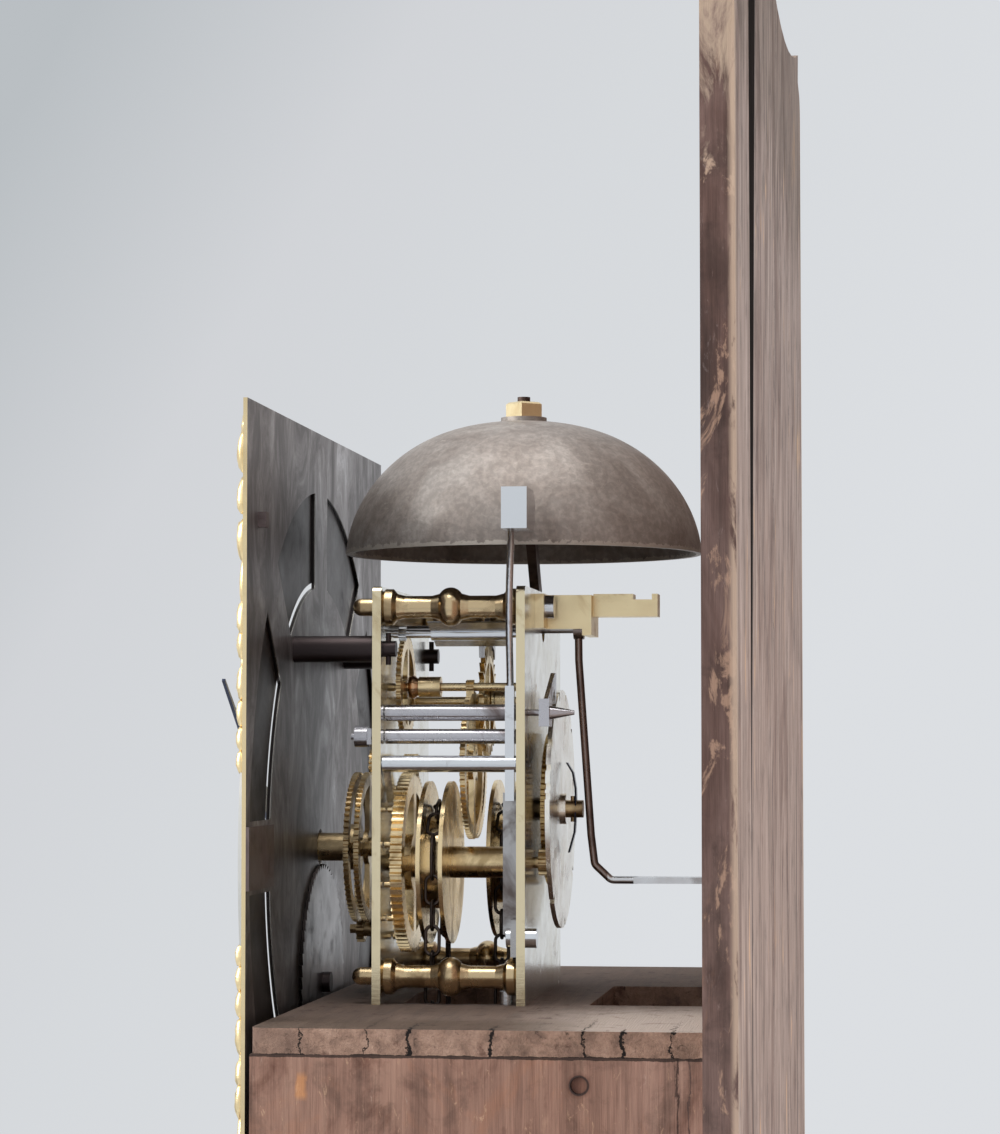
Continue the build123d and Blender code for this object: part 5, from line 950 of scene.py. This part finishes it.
wax = bmesh.new()
for hour, letters in enumerate(NUMERALS, start=1):
    widths = {"I": 3.6, "V": 8.0, "X": 8.0}
    cursor = -sum(widths[letter] for letter in letters) / 2
    for letter in letters:
        left, right = cursor, cursor + widths[letter]
        middle = (left + right) / 2
        inner, outer = NUMERAL_INNER, NUMERAL_OUTER
        if letter == "I":
            stroke(wax, (inner, middle, hour), (outer, middle, hour), 1.9)
        if letter == "V":
            stroke(wax, (outer, left + 1, hour), (inner, middle, hour), 1.9)
            stroke(wax, (inner, middle, hour), (outer, right - 1, hour), 0.7)
        if letter == "X":
            stroke(wax, (outer, left + 1, hour), (inner, right - 1, hour), 1.9)
            stroke(wax, (inner, left + 1, hour), (outer, right - 1, hour), 0.7)
        cursor = right
for minute in range(60):
    hour = minute / 5
    stroke(wax, (131.0, 0.0, hour), (134.5, 0.0, hour), 1.4 if minute % 5 == 0 else 0.5)
    for radius in (106.0, 131.0, 134.5, 142.5):
        half = pi * radius / 60
        corners = []
        for side, edge in ((-1, -0.18), (-1, 0.18), (1, 0.18), (1, -0.18)):
            turn = 2 * pi * minute / 60 + side * half / radius
            corners.append(wax.verts.new(ring_point(radius + edge, turn)))
        wax.faces.new(corners)
wax_finish, wax_tree, wax_shader = material("black_wax")
grit = noise(wax_tree, place_of(wax_tree), 700.0)
wax_tree.links.new(ramp(wax_tree, grit, [(0.3, 0.012), (0.7, 0.035)]), wax_shader.inputs["Base Color"])
wax_shader.inputs["Roughness"].default_value = 0.5
filled = piece("ring_numerals", wax, wax_finish, "case", smooth=False)


# Count wheel's fixings: a thin blued spring curved over the wheel's face on the brass post.

SPRING_X = -2.0 * MM
SPRING_ROUTE = ((30.2, 90.0), (32.6, 86.0), (33.6, 80.0), (33.8, 72.0), (33.2, 63.0), (31.0, 55.0))
spring = bmesh.new()
bow = []
for y, z in SPRING_ROUTE:
    bow.append([
        spring.verts.new((SPRING_X + x * MM, y * MM + shift * MM, SEAT + z * MM))
        for x, shift in ((-3.2, 0.0), (3.2, 0.0), (3.2, 0.45), (-3.2, 0.45))
    ])
for first, second in zip(bow, bow[1:]):
    skin(spring, first, second)
spring.faces.new(bow[0])
spring.faces.new(bow[-1])
bowed = piece("count_wheel_spring", spring, blued_steel, "case")


# Collets and pinion heads: turned brass sleeves that hold each wheel on its steel arbor.

def turned(bm, x, z, profile, steps=28):
    """A turned piece along Y about an arbor: the profile is a list of (y, radius) in mm."""
    rings = []
    for y, radius in profile:
        centre = Vector((x * MM, y * MM, SEAT + z * MM))
        rings.append(ring_of(bm, centre, Vector((1, 0, 0)), Vector((0, 0, 1)), radius * MM, steps))
    for first, second in zip(rings, rings[1:]):
        skin(bm, first, second)
    bm.faces.new(rings[0])
    bm.faces.new(rings[-1])


copper = metal("reddish_brass", (0.60, 0.36, 0.20), (0.30, 0.17, 0.09), 0.24, 0.36, 0.55)
for name, body, finish, x, z, profile in (
    ("warning_collet", "warning", copper, 24.08, 119.13,
     [(-27.8, 4.2), (-26.0, 4.6), (-24.5, 3.4), (-17.5, 3.2), (-15.9, 3.9), (-15.4, 2.2)]),
    ("escape_collet", "escape", polished_brass, 0.0, 114.13,
     [(0.7, 4.6), (2.0, 4.9), (3.2, 3.6), (6.6, 3.2), (7.6, 2.0)]),
    ("second_collet", "second", polished_brass, -15.66, 88.42,
     [(-13.2, 2.2), (-12.6, 4.3), (-10.2, 4.6), (-9.1, 5.0)]),
):
    sleeve = bmesh.new()
    turned(sleeve, x, z, profile)
    made = piece(name, sleeve, finish, body)


# Floor and wall of the studio: a pale floor that keeps the clock's shadow, and a wall that
# the camera sees as an even pale grey-blue, a little darker towards one side.

def stage_plane(name, corners):
    """A flat four-cornered sheet."""
    mesh = bpy.data.meshes.new(name)
    mesh.from_pydata(corners, [], [tuple(range(len(corners)))])
    made = bpy.data.objects.new(name, mesh)
    bpy.context.scene.collection.objects.link(made)
    return made


FLOOR_HALF = 6.0
floor = stage_plane(
    "floor",
    [(-FLOOR_HALF, -FLOOR_HALF, -0.0005), (FLOOR_HALF, -FLOOR_HALF, -0.0005),
     (FLOOR_HALF, FLOOR_HALF, -0.0005), (-FLOOR_HALF, FLOOR_HALF, -0.0005)],
)
floor_finish, floor_tree, floor_shader = material("studio_floor")
floor_shader.inputs["Base Color"].default_value = (0.78, 0.79, 0.81, 1)
floor_shader.inputs["Roughness"].default_value = 0.9
floor.data.materials.append(floor_finish)

PALE = (0.672, 0.692, 0.718)
TONES = (
    (0.02, (0.715, 0.735, 0.762)), (0.45, (0.672, 0.693, 0.718)), (0.66, (0.642, 0.657, 0.684)),
    (0.95, (0.490, 0.520, 0.545)),
)
WALL_X = -1.6
wall = stage_plane(
    "wall",
    [(WALL_X, -2.2, 0.2), (WALL_X, 1.8, 0.2), (WALL_X, 1.8, 3.4), (WALL_X, -2.2, 3.4)],
)
wall.visible_shadow = False
wall.visible_diffuse = False
wall.visible_glossy = False
wall_finish, wall_tree, wall_shader = material("studio_wall")
spot = add(wall_tree, "ShaderNodeSeparateXYZ", {"Vector": place_of(wall_tree)}).outputs
slide = math(wall_tree, "MULTIPLY_ADD", spot["Z"], 0.55, -0.85)
slide = math(wall_tree, "MULTIPLY_ADD", spot["Y"], -0.9, slide)
tone = ramp(wall_tree, slide, TONES)
lamp = add(wall_tree, "ShaderNodeEmission", {"Color": tone, "Strength": 1.0})
behind = add(wall_tree, "ShaderNodeNewGeometry").outputs["Backfacing"]
clear = add(wall_tree, "ShaderNodeBsdfTransparent").outputs["BSDF"]
seen_side = add(wall_tree, "ShaderNodeMixShader", {0: behind, 1: lamp.outputs["Emission"], 2: clear})
wall_tree.links.new(seen_side.outputs["Shader"], wall_tree.nodes["Material Output"].inputs["Surface"])
wall.data.materials.append(wall_finish)


# Light: an even pale room, a large soft lamp on each side of the camera and one above.

world = bpy.data.worlds.new("studio")
bpy.context.scene.world = world
world.use_nodes = True
sky = world.node_tree
room = sky.nodes["Background"]
room.inputs["Color"].default_value = (0.93, 0.965, 1.0, 1)
room.inputs["Strength"].default_value = 0.78
seen = add(sky, "ShaderNodeBackground", {"Color": (*PALE, 1), "Strength": 1.0})
ray = add(sky, "ShaderNodeLightPath").outputs["Is Camera Ray"]
pick = add(
    sky, "ShaderNodeMixShader", {0: ray, 1: room.outputs["Background"], 2: seen.outputs["Background"]}
)
sky.links.new(pick.outputs["Shader"], sky.nodes["World Output"].inputs["Surface"])


def soft_lamp(name, place, aim, width, height, power, tint=(1.0, 0.99, 0.97)):
    """A rectangular lamp that looks at a point."""
    data = bpy.data.lights.new(name, "AREA")
    data.shape = "RECTANGLE"
    data.size = width
    data.size_y = height
    data.energy = power
    data.color = tint
    made = bpy.data.objects.new(name, data)
    made.location = place
    made.rotation_euler = (Vector(aim) - Vector(place)).to_track_quat("-Z", "Y").to_euler()
    bpy.context.scene.collection.objects.link(made)
    return made


AIM = (0.0, 0.0, 1.64)
soft_lamp("left_lamp", (0.9, -1.5, 2.35), AIM, 0.9, 1.3, 28.0)
soft_lamp("right_lamp", (1.1, 1.7, 1.95), AIM, 0.5, 1.3, 12.0)
soft_lamp("top_lamp", (0.25, 0.05, 3.1), AIM, 1.0, 1.0, 14.0)


# Camera: level with the seatboard's right side, close to the movement.

CAMERA_PLACE = (1.294, 0.170, 1.6573)
CAMERA_TURN = 7.30
CAMERA_TILT = 3.04
view = bpy.data.cameras.new("camera")
view.sensor_fit = "VERTICAL"
view.sensor_height = 36.0
view.lens = 105.7
view.clip_start = 0.02
camera = bpy.data.objects.new("camera", view)
camera.location = CAMERA_PLACE
look = Vector((
    -cos(radians(CAMERA_TURN)) * cos(radians(CAMERA_TILT)),
    -sin(radians(CAMERA_TURN)) * cos(radians(CAMERA_TILT)),
    sin(radians(CAMERA_TILT)),
))
camera.rotation_euler = look.to_track_quat("-Z", "Y").to_euler()
bpy.context.scene.collection.objects.link(camera)
bpy.context.scene.camera = camera
bpy.context.scene.view_settings.view_transform = "Standard"
